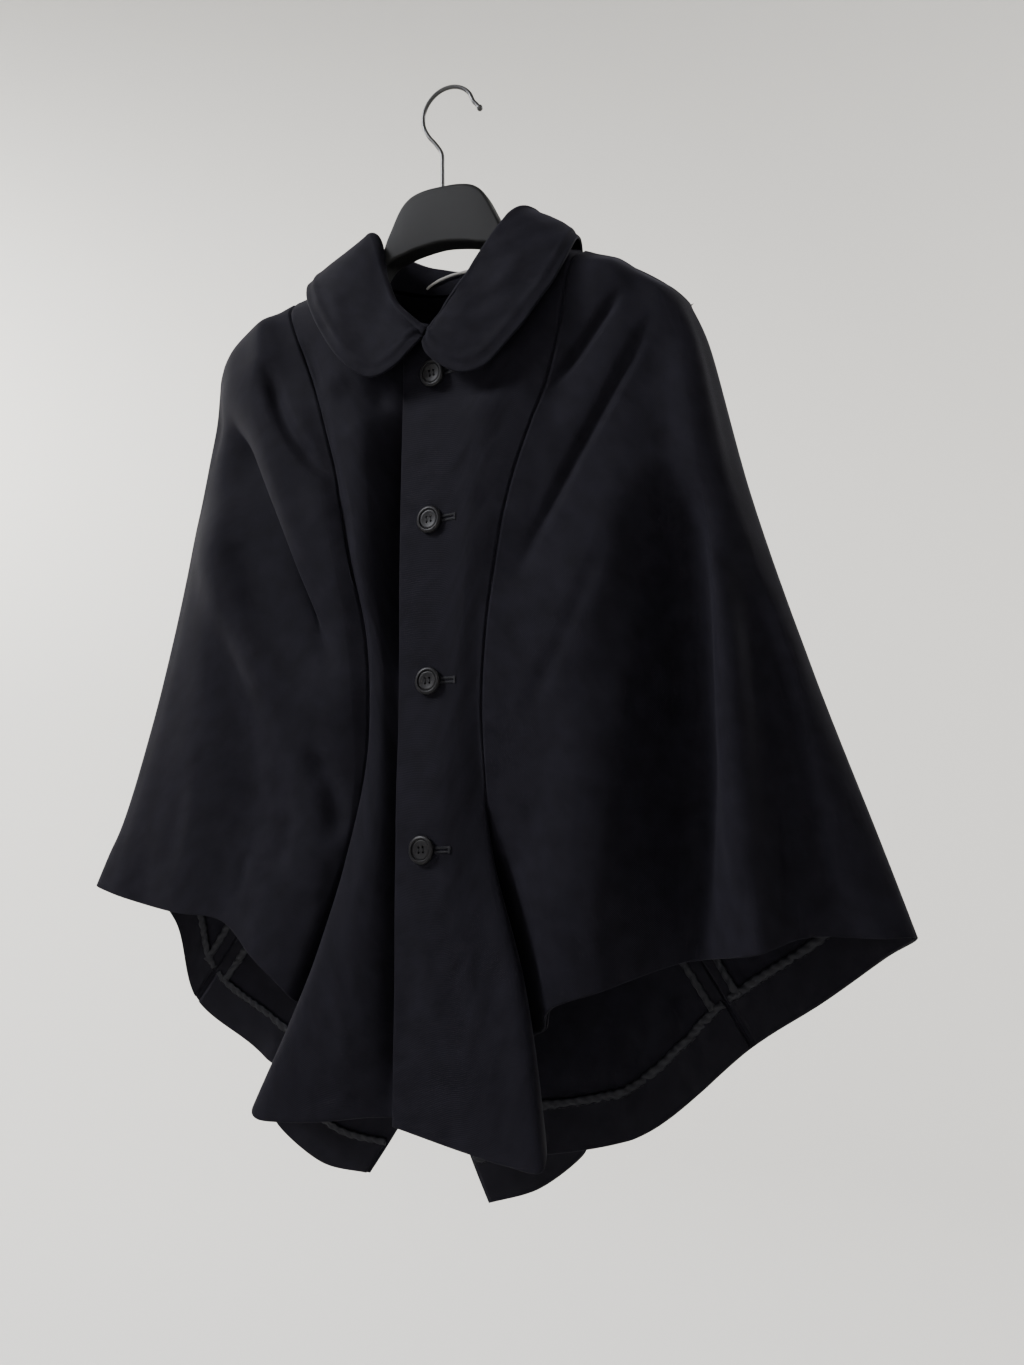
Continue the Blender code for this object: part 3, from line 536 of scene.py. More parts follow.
# Slanting drag folds on the fronts: where each starts, bends and ends (x and z of the three places,
# seen from the front), then its depth and width. A fold fades out over a share of its length and is
# shallow at its ends, and all of them die out over some lines before the side seam.
DRAG_TAPER = 0.25
DRAG_END_SHARE = 0.15
DRAG_SIDE_FADE = 1.5
LEFT_DRAGS = (
    (176, -196, 132, -246, 92, -300, 5.0, 18),
    (200, -236, 128, -334, 60, -446, 7.0, 22),
    (190, -330, 150, -400, 96, -520, -4.0, 24),
)
RIGHT_DRAGS = (
    (-158, -212, -130, -288, -78, -346, 5.0, 20),
    (-214, -226, -140, -364, -52, -548, -8.0, 26),
    (-212, -268, -160, -410, -72, -516, 6.0, 24),
    (-196, -420, -168, -520, -152, -640, 4.0, 20),
)

# Each panel lies between two lines
PANELS = (
    ("front", "front_edge", "front_seam"),
    ("cape_front", "front_seam", "side_seam"),
    ("cape_back", "side_seam", "back_seam"),
    ("back", "back_seam", "centre_back"),
)
# Thicknesses and gaps of the cloth and its hems, and how the vent opens below the seat
CLOTH_THICKNESS = 2.0
SEAM_HALF_GAP = 0.18
HEM_DEPTH = 40.0
HEM_THICKNESS = 1.2
LAID_ON_GAP = 0.35
VENT_SPREAD = 117.0
VENT_SKEW = 9.0
VENT_CURVE = 1.3
print("lines:", len(LEFT_LINES), "to the left and", len(RIGHT_LINES), "to the right")

# %% [markdown]
# A curve through a few points keeps the tables short. This one is a cubic that takes its slope at
# each point from both neighbours, weighted by their distance, so that uneven spacing doesn't make
# it swing out. It is read at any place counted in points, and it reads many places at once. Beside it
# stand the few other things that are done to many paths below.
# %% A smooth curve through points
def table(rows, columns):
    """Gives each row of a table as a dictionary by column name."""
    return [dict(zip(columns, row)) for row in rows]


def unit(vectors):
    """One vector or many, each brought to a length of one."""
    return vectors / np.linalg.norm(vectors, axis=-1, keepdims=True)


def lengths_along(path):
    """The distance of each point of a path from its start, measured along it."""
    return np.concatenate([[0], np.cumsum(np.linalg.norm(np.diff(path, axis=0), axis=1))])


def read_at(marks, lengths, values):
    """Reads points or directions, given at lengths along a path, at other marks along it."""
    return np.stack([np.interp(marks, lengths, values[:, k]) for k in range(3)], axis=1)


def smooth_curve(points, places):
    """Reads a smooth curve through points at places counted in points from the first."""
    points = np.asarray(points, dtype=float)
    steps = np.sqrt(np.linalg.norm(np.diff(points, axis=0), axis=1)) + 1e-9
    slopes = np.diff(points, axis=0) / steps[:, None]
    tangents = np.empty_like(points)
    tangents[0] = slopes[0]
    tangents[-1] = slopes[-1]
    before, after = steps[:-1, None], steps[1:, None]
    tangents[1:-1] = (slopes[1:] * before + slopes[:-1] * after) / (before + after)
    places = np.clip(np.asarray(places, dtype=float), 0, len(points) - 1)
    first = np.minimum(places.astype(int), len(points) - 2)
    t = (places - first)[:, None]
    span = steps[first][:, None]
    return (
        (2 * t**3 - 3 * t**2 + 1) * points[first]
        + (t**3 - 2 * t**2 + t) * span * tangents[first]
        + (-2 * t**3 + 3 * t**2) * points[first + 1]
        + (t**3 - t**2) * span * tangents[first + 1]
    )


def smooth_step(value):
    """Rises smoothly from 0 to 1 as value goes from 0 to 1."""
    value = np.clip(value, 0.0, 1.0)
    return value * value * (3 - 2 * value)


def line_points(row):
    """Gives the eight heights' points of one lengthwise line."""
    top = np.array([row["top_x"], row["top_y"], row["top_z"]], dtype=float)
    chest = np.array([row["chest_x"], row["chest_y"], CHEST_Z], dtype=float)
    yoke = top + (chest - top) * (YOKE_DROP, YOKE_REACH, YOKE_DROP)
    return np.array([
        top,
        yoke,
        chest,
        (row["rib_x"], row["rib_y"], RIB_Z),
        (row["waist_x"], row["waist_y"], WAIST_Z),
        (row["hip_x"], row["hip_y"], HIP_Z),
        (row["seat_x"], row["seat_y"], row["seat_z"]),
        (row["hem_x"], row["hem_y"], row["hem_z"]),
    ])


print("one line has", len(line_points(table(LEFT_LINES, COLUMNS)[0])), "points")

# %% [markdown]
# Creases are what make cloth look like cloth. Each one here was placed where the coat shows it, as seen
# from the front or from the back: a path of three points, a depth and a width. A positive depth is a soft
# trough and a negative one a ridge. Their lengths, depths and spacing are uneven on purpose. Small ones
# stand near the hems and seams, where the cloth is held.
# %% Creases placed one by one
# The half of the coat, the side it is seen from, x and z of three places, the depth and the width
CREASES = (
    ("left", "front", 160, -205, 133, -240, 98, -284, 4.8, 4.5),
    ("left", "front", 172, -200, 133, -245, 96, -294, -2.0, 17),
    ("left", "front", 186, -223, 137, -310, 68, -434, 4.6, 5),
    ("left", "front", 197, -240, 130, -334, 68, -436, -3.5, 20),
    ("left", "front", 152, -385, 116, -466, 80, -530, 2.2, 7),
    ("left", "front", 194, -336, 196, -444, 191, -700, 12.0, 27),
    ("left", "front", 192, -330, 200, -500, 198, -760, 8.0, 12),
    ("left", "front", 174, -400, 154, -540, 134, -720, -2.6, 10),
    ("left", "front", 130, -500, 128, -600, 126, -690, -4.0, 26),
    ("left", "front", 230, -419, 237, -557, 247, -668, -7.0, 15),
    ("left", "front", 243, -397, 264, -517, 286, -625, 7.0, 13),
    ("left", "front", 264, -585, 266, -625, 264, -671, 3.0, 5),
    ("left", "front", 279, -585, 287, -618, 293, -661, 2.5, 7),
    ("left", "front", 214, -332, 217, -376, 222, -419, 2.0, 9),
    ("left", "front", -12, -257, 40, -270, 90, -246, 5.0, 12),
    ("left", "front", 28, -322, 50, -345, 65, -377, 2.0, 13),
    ("left", "front", 22, -657, 34, -713, 50, -766, 1.5, 13),
    ("left", "front", -3, -680, -2, -730, -5, -786, 1.2, 9),
    ("left", "front", 75, -629, 88, -656, 101, -676, -1.6, 9),
    ("left", "front", 7, -464, 25, -503, 40, -526, 1.2, 14),
    ("left", "front", 92, -560, 88, -610, 76, -664, 1.4, 9),
    ("right", "front", -150, -240, -94, -340, -44, -462, -7.0, 19),
    ("right", "front", -216, -234, -155, -350, -58, -520, 27.0, 19),
    ("right", "front", -214, -320, -180, -425, -102, -555, -11.0, 24),
    ("right", "front", -158, -216, -130, -276, -88, -330, 7.0, 6.5),
    ("right", "front", -122, -202, -108, -227, -97, -255, 2.5, 5),
    ("right", "front", -107, -541, -80, -579, -75, -629, 7.0, 9),
    ("right", "front", -74, -625, -81, -649, -91, -676, 2.5, 7),
    ("right", "front", -135, -559, -122, -611, -143, -655, 3.5, 13),
    ("right", "front", -165, -628, -169, -652, -176, -673, 2.0, 6),
    ("right", "front", -234, -554, -237, -605, -250, -656, 1.6, 12),
    ("right", "front", -24, -262, -25, -366, -23, -509, 12.0, 17),
    ("right", "front", -23, -470, -21, -640, -19, -850, 5.0, 9),
    ("right", "front", -23, -262, -24, -366, -22, -509, 8.0, 6),
    ("right", "front", -22, -509, -20, -661, -18, -840, 7.0, 6),
    ("right", "front", -90, -246, -57, -262, -28, -266, 5.0, 12),
    ("right", "front", -69, -282, -56, -300, -47, -328, -2.0, 10),
    ("right", "front", -55, -684, -61, -735, -72, -793, 1.2, 10),
    ("right", "front", -32, -560, -44, -700, -66, -880, -6.0, 22),
    ("right", "front", -92, -766, -66, -793, -54, -806, 1.5, 12),
    ("left", "back", 150, -226, 112, -300, 74, -382, 6.5, 11),
    ("left", "back", 190, -272, 160, -360, 108, -456, 7.0, 12),
    ("left", "back", 226, -360, 214, -468, 218, -590, -6.0, 15),
    ("left", "back", 262, -440, 268, -560, 286, -660, 6.0, 12),
    ("left", "back", 152, -450, 172, -584, 200, -700, 7.5, 14),
    ("left", "back", 96, -480, 110, -620, 134, -756, -5.5, 14),
    ("left", "back", 52, -250, 46, -330, 34, -410, 3.5, 12),
    ("left", "back", 30, -540, 44, -660, 70, -800, 4.5, 13),
    ("left", "back", 206, -684, 214, -714, 224, -752, 2.8, 6),
    ("left", "back", 168, -738, 176, -774, 188, -812, 3.2, 6.5),
    ("left", "back", 118, -790, 122, -820, 130, -856, 2.6, 5.5),
    ("left", "back", 132, -770, 140, -802, 152, -838, -2.0, 7),
    ("right", "back", -164, -222, -130, -296, -88, -376, 7.0, 11),
    ("right", "back", -206, -290, -178, -380, -128, -470, 6.0, 11),
    ("right", "back", -236, -400, -232, -486, -250, -600, -6.0, 15),
    ("right", "back", -262, -470, -272, -580, -290, -650, 5.0, 11),
    ("right", "back", -168, -470, -200, -600, -250, -690, 7.5, 13),
    ("right", "back", -108, -480, -132, -600, -180, -720, -5.0, 14),
    ("right", "back", -54, -262, -52, -340, -44, -414, 3.5, 12),
    ("right", "back", -58, -550, -92, -676, -140, -800, 5.0, 14),
    ("right", "back", -256, -700, -266, -726, -280, -752, 1.5, 7),
    ("right", "back", -196, -786, -206, -812, -220, -838, 1.4, 7),
)
CREASE_STEPS = 72
CREASE_TAPER = 0.3
# A fold is worked out as far as this many widths from its path
FOLD_REACH = 3
print("creases:", len(CREASES))

# %% [markdown]
# Each half is worked out once as a grid of points: places run round the body from the front edge to
# the centre back, rows run down from the shoulder to the hem. The slanting folds and the creases
# then push the grid along its own outward direction. Cutting panels from one grid, and not making
# each by itself, means that neighbours meet exactly and share their folds, as sewn cloth does.
# %% The skin of one half
# Millimetres between places and the number of rows: fine enough for the narrowest crease, and coarse
# enough for the whole coat to stay under a million triangles
GRID_STEP = 3.3
GRID_ROWS = 212
# Faint ripples: two wave numbers in radians a millimetre, a phase and a height, with a slow drift
RIPPLE_DRIFT = 0.6
RIPPLE_DRIFT_WAVE = 0.017
RIPPLE_WAVES = (
    (0.021, 0.013, 0.4, 0.32),
    (-0.034, 0.027, 1.9, 0.24),
    (0.058, -0.019, 4.1, 0.16),
    (0.012, 0.071, 2.6, 0.14),
    (0.093, 0.064, 5.3, 0.08),
)
# Creases and ripples fade in over these rows from the shoulder and lines from the side seam
CALM_ROWS = 0.8
CALM_LINES = 0.6
# How many grid places beside a line are looked at for a strip laid along it
STRIP_REACH = 60


def fold_push(flat, path, depth, width, taper, end_share):
    """How far a fold pushes points inwards: flat has their x and z, path the x and z of three places."""
    trail = smooth_curve(np.reshape(path, (3, 2)), np.linspace(0, 2, CREASE_STEPS + 1))
    low, high = trail.min(axis=0) - FOLD_REACH * width, trail.max(axis=0) + FOLD_REACH * width
    near = np.nonzero(((flat > low) & (flat < high)).all(axis=1))[0]
    push = np.zeros(len(flat))
    if len(near) == 0:
        return push
    nearest = np.linalg.norm(flat[near][:, None, :] - trail[None, :, :], axis=2).argmin(axis=1)
    first = np.clip(nearest - 1, 0, CREASE_STEPS - 2)
    start, chord = trail[first], trail[first + 2] - trail[first]
    along = ((flat[near] - start) * chord).sum(axis=1) / (chord ** 2).sum(axis=1)
    along = np.clip(along, 0.0, 1.0)
    gaps = np.linalg.norm(flat[near] - start - along[:, None] * chord, axis=1)
    place = (first + 2 * along) / CREASE_STEPS
    ends = smooth_step(np.minimum(place, 1 - place) / taper + end_share)
    push[near] = depth * ends * np.exp(-((gaps / width) ** 2))
    return push


def grid_normals(grid, sign):
    """Outward directions of a grid of points (places, rows)."""
    along = np.gradient(grid, axis=0)
    down = np.gradient(grid, axis=1)
    normals = np.cross(down, along) * sign
    return normals / np.maximum(np.linalg.norm(normals, axis=2, keepdims=True), 1e-9)


class Half:
    """One half of the coat: a grid of points, their outward directions and where each line lies."""

    def __init__(self, side, lines, drags, sign):
        self.side = side
        self.sign = sign
        lines = np.array([line_points(row) for row in table(lines, COLUMNS)])
        self.rows = np.linspace(0, HEM_ROW, GRID_ROWS)
        rings = np.stack([smooth_curve(line, self.rows) for line in lines], axis=1)
        opening = np.maximum(self.rows - SEAT_ROW, 0.0) ** VENT_CURVE
        rings[:, -1] += np.outer(opening, (VENT_SPREAD, 0.0, -VENT_SKEW)) * (sign * 0.5)
        self.places, self.line_at = [], {}
        reach = np.linalg.norm(np.diff(rings[-1], axis=0), axis=1)
        for number, length in enumerate(reach):
            self.line_at[LINE_NAMES[number]] = len(self.places)
            count = max(4, round(length / GRID_STEP))
            self.places += [number + step / count for step in range(count)]
        self.line_at[LINE_NAMES[-1]] = len(self.places)
        self.places = np.array(self.places + [len(lines) - 1.0])
        self.grid = np.stack([smooth_curve(ring, self.places) for ring in rings], axis=1)
        self.push_folds(drags)
        self.normals = grid_normals(self.grid, sign)
        self.square_edges()

    def push_folds(self, drags):
        """Presses the slanting folds, the creases and faint ripples into the grid."""
        shape = self.grid.shape[:2]
        side_place = LINE_NAMES.index("side_seam")
        places = np.repeat(self.places[:, None], shape[1], axis=1)
        rows = np.repeat(self.rows[None, :], shape[0], axis=0)
        front = places < side_place
        flat = self.grid[:, :, (0, 2)].reshape(-1, 2)
        drawn = np.zeros(shape)
        for *path, depth, width in drags:
            drawn += fold_push(flat, path, depth, width, DRAG_TAPER, DRAG_END_SHARE).reshape(shape)
        fade = smooth_step(rows) * smooth_step((side_place - places) / DRAG_SIDE_FADE)
        self.grid[:, :, 1] += np.where(front, drawn * fade, 0.0)
        normals = grid_normals(self.grid, self.sign)
        flat = self.grid[:, :, (0, 2)].reshape(-1, 2)
        push = np.zeros(shape)
        for side, seen_from, *path, depth, width in CREASES:
            if side == self.side:
                pressed = fold_push(flat, path, depth, width, CREASE_TAPER, 0.0).reshape(shape)
                push += np.where(front == (seen_from == "front"), pressed, 0.0)
        for wave_x, wave_z, start, height in RIPPLE_WAVES:
            phase = self.grid[:, :, 0] * wave_x + self.grid[:, :, 2] * wave_z + start
            drift = RIPPLE_DRIFT * np.sin(self.grid[:, :, 2] * RIPPLE_DRIFT_WAVE + start)
            push += height * np.sin(phase + drift)
        calm = smooth_step(rows / CALM_ROWS) * smooth_step(np.abs(places - side_place) / CALM_LINES)
        self.grid -= normals * (push * calm)[:, :, None]

    def square_edges(self):
        """Turns the outward direction square to the shoulder seam and to the centre back."""
        first, last = self.line_at["front_crest"], self.line_at["fold_front"]
        self.normals[first:last + 1, 0, 1] = 0.0
        self.normals[-1, :, 0] = 0.0
        self.normals = unit(self.normals)

    def up_from_hem(self, first, last, distances):
        """Points and directions at distances measured up the cloth from the hem: (places, distances)."""
        points, normals = [], []
        for column in range(first, last + 1):
            line = self.grid[column, ::-1]
            lengths = lengths_along(line)
            points.append(read_at(distances, lengths, line))
            normals.append(read_at(distances, lengths, self.normals[column, ::-1]))
        return np.array(points), unit(np.array(normals))

    def beside_line(self, name, direction, rows, distances):
        """Points and directions at distances to one side of a line: (distances, rows)."""
        start = self.line_at[name]
        points, normals = [], []
        for row in rows:
            ring = self.grid[start::direction, row][:STRIP_REACH]
            turned = self.normals[start::direction, row][:STRIP_REACH]
            lengths = lengths_along(ring)
            points.append(read_at(distances, lengths, ring))
            normals.append(read_at(distances, lengths, turned))
        return np.array(points).swapaxes(0, 1), unit(np.array(normals).swapaxes(0, 1))


halves = {
    "left": Half("left", LEFT_LINES, LEFT_DRAGS, 1),
    "right": Half("right", RIGHT_LINES, RIGHT_DRAGS, -1),
}
for side, half in halves.items():
    print(side, "half:", half.grid.shape[0], "places by", half.grid.shape[1], "rows")

# %% [markdown]
# A panel is a thin closed shell: an outer face, an inner face and narrow edges. Making it as a grid
# keeps the cloth's UV map simple, because distances across and down the grid are distances on the
# cloth. The edges get a few extra columns that sink, so that two panels meet in the fine groove of a
# pressed seam, and a folded edge turns over in a small round, and not in a sharp corner.
# %% Building a thin shell
# An edge has lines at a share of the first grid step, at most so far in, sunk and raised by so much
SEAM_EDGE = ((0.0, 0.0, 1.15, 0.0), (0.3, 0.75, 0.42, 0.0), (0.62, 1.6, 0.1, 0.0))
FOLD_EDGE = ((0.0, 0.0, 0.85, 0.75), (0.16, 0.45, 0.32, 0.3), (0.45, 1.2, 0.06, 0.05))


def finish_mesh(name, vertices, faces, cloth_map, finish):
    """Makes a piece from points in millimetres, its faces out and its UV map filled."""
    vertices = np.asarray(vertices, dtype=float) * MM
    faces = np.asarray(faces)
    corners = vertices[faces]
    spans = np.cross(corners[:, 1] - corners[:, 0], corners[:, 2] - corners[:, 0])
    volume = np.einsum("ij,ij->i", corners[:, 0], spans).sum()
    spans = np.cross(corners[:, 2] - corners[:, 0], corners[:, 3] - corners[:, 0])
    volume += np.einsum("ij,ij->i", corners[:, 0], spans).sum()
    if volume < 0:
        faces = faces[:, ::-1]
    mesh = bpy.data.meshes.new(name)
    mesh.from_pydata(vertices.tolist(), [], faces.tolist())
    loops = np.zeros(len(mesh.loops), dtype=np.int64)
    mesh.loops.foreach_get("vertex_index", loops)
    layer = mesh.uv_layers.new(name="cloth")
    layer.data.foreach_set("uv", (np.asarray(cloth_map)[loops] * MM).astype(np.float32).ravel())
    mesh.shade_smooth()
    mesh.materials.append(finish)
    return link(name, mesh)


def cloth_distances(grid):
    """Distances across and down a grid, counted from its middle column."""
    across = np.linalg.norm(np.diff(grid, axis=0), axis=2)
    across = np.concatenate([np.zeros((1, grid.shape[1])), np.cumsum(across, axis=0)])
    across -= across[len(across) // 2]
    down = np.linalg.norm(np.diff(grid, axis=1), axis=2)
    down = np.concatenate([np.zeros((grid.shape[0], 1)), np.cumsum(down, axis=1)], axis=1)
    return np.stack([across, down], axis=2)


def shell(name, outer, inner, finish):
    """Closes two grids of points into a thin wall."""
    wide, high = outer.shape[:2]
    index = np.arange(wide * high).reshape(wide, high)
    under = index + wide * high

    def quads(a, b, c, d):
        return np.stack([part.ravel() for part in (a, b, c, d)], axis=1)

    faces = [
        quads(index[:-1, :-1], index[1:, :-1], index[1:, 1:], index[:-1, 1:]),
        quads(under[:-1, :-1], under[:-1, 1:], under[1:, 1:], under[1:, :-1]),
        quads(index[:-1, 0], under[:-1, 0], under[1:, 0], index[1:, 0]),
        quads(index[:-1, -1], index[1:, -1], under[1:, -1], under[:-1, -1]),
        quads(index[0, :-1], index[0, 1:], under[0, 1:], under[0, :-1]),
        quads(index[-1, :-1], under[-1, :-1], under[-1, 1:], index[-1, 1:]),
    ]
    cloth_map = cloth_distances(outer).reshape(-1, 2)
    vertices = np.concatenate([outer.reshape(-1, 3), inner.reshape(-1, 3)])
    return finish_mesh(name, vertices, np.concatenate(faces), np.tile(cloth_map, (2, 1)), finish)


def edge_lines(grid, normals, sunk, raised, axis, end, edge):
    """Replaces the last line of points at one end by several that turn the edge over."""
    grid, normals = np.moveaxis(grid, axis, 0), np.moveaxis(normals, axis, 0)
    sunk, raised = np.moveaxis(sunk, axis, 0), np.moveaxis(raised, axis, 0)
    if end:
        grid, normals, sunk, raised = grid[::-1], normals[::-1], sunk[::-1], raised[::-1]
    inwards = grid[1] - grid[0]
    length = np.maximum(np.linalg.norm(inwards, axis=1, keepdims=True), 1e-6)
    lines, downs, ups = [], [], []
    for share, distance, sink, lift in edge:
        lines.append(grid[0] + inwards * np.minimum(share + 0.0 * length, distance / length))
        downs.append(np.maximum(sunk[0], sink))
        ups.append(np.maximum(raised[0], lift))
    grid = np.concatenate([lines, grid[1:]])
    normals = np.concatenate([np.repeat(normals[:1], len(edge), axis=0), normals[1:]])
    sunk, raised = np.concatenate([downs, sunk[1:]]), np.concatenate([ups, raised[1:]])
    if end:
        grid, normals, sunk, raised = grid[::-1], normals[::-1], sunk[::-1], raised[::-1]
    return [np.moveaxis(part, 0, axis) for part in (grid, normals, sunk, raised)]


def turn_edges(grid, normals, first, last):
    """Turns over a sheet's edges: its first and last side as asked, a fold below and a seam above."""
    parts = [grid, normals, np.zeros(grid.shape[:2]), np.zeros(grid.shape[:2])]
    for axis, end, edge in ((0, 0, first), (0, 1, last), (1, 1, FOLD_EDGE), (1, 0, SEAM_EDGE)):
        parts = edge_lines(*parts, axis, end, edge)
    return parts


# %% [markdown]
# The eight panels are cut from the two skins. The front edge, the hems and the vent are folded edges and
# the rest are seams. At the shoulder the front and the back meet face to face, so the inner faces are kept
# on their own side of the seam. For each panel the size it was cut to is worked out: the box round the
# pattern piece, and its true area.
# %% Panels
# How deep the groove of a seam is, and how far from the seam its slope reaches
SEAM_SINK = 1.6
SEAM_REACH = 1.05


def make_panel(half, name, first, last):
    """Cuts one panel from the skin of its half."""
    start, end = half.line_at[first], half.line_at[last]
    grid, normals = half.grid[start:end + 1], half.normals[start:end + 1]
    left_edge = FOLD_EDGE if first == "front_edge" else SEAM_EDGE
    right_edge = FOLD_EDGE if last == "centre_back" else SEAM_EDGE
    grid, normals, sunk, raised = turn_edges(grid, normals, left_edge, right_edge)
    for edge, line in ((left_edge, grid[:1]), (right_edge, grid[-1:])):
        if edge is SEAM_EDGE:
            distance = np.linalg.norm(grid - line, axis=2)
            sunk = np.maximum(sunk, SEAM_SINK * np.exp(-((distance / SEAM_REACH) ** 2)))
    outer = grid - normals * sunk[:, :, None]
    inner = grid - normals * (CLOTH_THICKNESS - raised)[:, :, None]
    meeting = 1 + int(np.searchsorted(half.rows, 1.0))
    own_side = -1 if name in ("front", "cape_front") else 1
    for face in (outer, inner):
        face[:, :meeting, 1] = own_side * np.maximum(own_side * face[:, :meeting, 1], SEAM_HALF_GAP)
    return shell(f"panel_{name}_{half.side}", outer, inner, wool)


def cloth_area(grid):
    """The area of a grid of points, in square metres."""
    a, b = grid[1:, :-1] - grid[:-1, :-1], grid[:-1, 1:] - grid[:-1, :-1]
    return float(np.linalg.norm(np.cross(a, b), axis=2).sum()) * MM * MM


def cut_size(grid, rows=slice(None)):
    """The box round a sheet laid flat, with its width read along the given rows, and its area."""
    size = cloth_distances(grid)
    return {
        "flat": (float(np.ptp(size[:, rows, 0])) * MM, float(size[:, :, 1].max()) * MM),
        "area": cloth_area(grid),
    }


panels, cuts = {}, {}
for half in halves.values():
    for name, first, last in PANELS:
        node = f"{name}_{half.side}"
        panels[node] = make_panel(half, name, first, last)
        cuts[node] = cut_size(half.grid[half.line_at[first]:half.line_at[last] + 1])
print("cuts in m and m2:", {node: [round(value, 3) for value in cut["flat"]] for node, cut in cuts.items()})

# %% [markdown]
# The hems are turned up 40 mm inside. Below the front, the turned hem of the back shows: a second
# layer of cloth whose cut edge is wrapped in satin. It is laid on the inner face of its panel,
# a hair away from it. Where the hem is held, the layer is a little full, so it gets small puckers.
# %% Turned hems
PUCKER_LENGTHS = (23.0, 37.0, 61.0)
PUCKER_DEPTHS = (0.28, 0.34, 0.26)
# The layer's rows near the fold stand close, where it turns over, and even ones go up to its edge
HEM_FOLD_HEIGHTS = (0.6, 1.1, 2.0)
HEM_EVEN_HEIGHTS = np.linspace(4, HEM_DEPTH, 13)
HEM_FOLD_THINNING = 0.55
PUCKER_THICKENING = 0.5
PUCKER_THINNEST = -0.3
PUCKER_LIFT = 0.25


def uneven_waves(along, lengths, depths, start=0.0):
    """Adds waves of unlike lengths, so that the result never repeats over a garment."""
    total = np.zeros_like(along)
    for number, (length, depth) in enumerate(zip(lengths, depths)):
        drift = 0.9 * np.sin(along / (length * 3.1) + number + start)
        total += depth * np.sin(2 * np.pi * along / length + drift + 1.7 * number + start)
    return total


def make_turned_hem(half, name, first, last):
    """Makes the turned-up layer inside one panel's hem."""
    start, end = half.line_at[first] + 1, half.line_at[last] - 1
    heights = np.concatenate([HEM_FOLD_HEIGHTS, HEM_EVEN_HEIGHTS])
    points, normals = half.up_from_hem(start, end, heights)
    along = cloth_distances(points)[:, :, 0]
    puckers = uneven_waves(along, PUCKER_LENGTHS, PUCKER_DEPTHS, start=first.count("e"))
    puckers *= smooth_step(heights / HEM_DEPTH)[None, :]
    thickness = HEM_THICKNESS + PUCKER_THICKENING * np.maximum(puckers, PUCKER_THINNEST)
    thickness *= np.where(heights < 1.0, HEM_FOLD_THINNING, 1.0)[None, :]
    depth = CLOTH_THICKNESS + LAID_ON_GAP + PUCKER_LIFT + PUCKER_LIFT * puckers
    near = points - normals * depth[:, :, None]
    far = points - normals * (depth + thickness)[:, :, None]
    return shell(f"hem_{name}_{half.side}", near, far, hem_wool)


hems = {}
for half in halves.values():
    for name, first, last in PANELS:
        hems[f"{name}_{half.side}"] = make_turned_hem(half, name, first, last)
print("turned hems:", len(hems))

# %% [markdown]
# Bias binding wraps each raw edge. It is a soft strip that the needle pulls into slanting puckers, so
# it looks like a loosely laid rope. The strip is a closed section, carried along the edge, whose
# radius swells and shrinks along a slant. Its waves are uneven, as hand-guided sewing is.
# %% Bias binding along an edge
BINDING_WIDTH = 6.4
BINDING_THICKNESS = 2.3
BINDING_SIDES = 12
BINDING_STEP = 1.3
PUCKER_PITCH = 8.6
PUCKER_SLANT = 2.1
PUCKER_SHARE = 0.13
FINE_PUCKER_SHARE = 0.05
# Slow unevenness along a binding: the lengths and the heights of its waves
BINDING_DRIFT = ((71.0, 113.0), (0.9, 1.3))
BINDING_SWELL = ((31.0, 53.0), (0.05, 0.06))
# The binding's middle and the stitches that hold it, measured down from the hem's raw edge
BINDING_FROM_EDGE = 1.8
STITCHES_FROM_EDGE = 5.6
STITCH_LIFT = 0.45
HEM_BINDING_DEPTH = CLOTH_THICKNESS + LAID_ON_GAP + HEM_THICKNESS / 2 + 0.75


def evenly(points, normals, step):
    """Gives points at an even step along a path, with their directions and distances."""
    lengths = lengths_along(points)
    marks = np.linspace(0, lengths[-1], max(3, int(lengths[-1] / step) + 1))
    return read_at(marks, lengths, points), unit(read_at(marks, lengths, normals)), marks


def tube(name, rings, finish, around=1.0):
    """Closes rings of points into a tube with capped ends."""
    rings = np.asarray(rings)
    count, sides = rings.shape[:2]
    first, last = rings[0].mean(axis=0), rings[-1].mean(axis=0)
    rings = np.concatenate([
        [first + (rings[0] - first) * 0.05], rings, [last + (rings[-1] - last) * 0.05],
    ])
    count += 2
    index = np.arange(count * sides).reshape(count, sides)
    after = np.roll(index, -1, axis=1)
    faces = np.stack([
        index[:-1].ravel(), after[:-1].ravel(), after[1:].ravel(), index[1:].ravel(),
    ], axis=1).tolist()
    half_sides = sides // 2
    for ring, turn in ((index[0], 1), (index[-1], -1)):
        for k in range(half_sides - 1):
            quad = [ring[k], ring[k + 1], ring[sides - 2 - k], ring[sides - 1 - k]]
            faces.append(quad[::-1] if turn == 1 else quad)
    across = np.tile(np.linspace(0, around, sides, endpoint=False), count)
    cloth_map = np.stack([across, np.repeat(lengths_along(rings.mean(axis=1)), sides)], axis=1)
    return finish_mesh(name, rings.reshape(-1, 3), faces, cloth_map, finish)


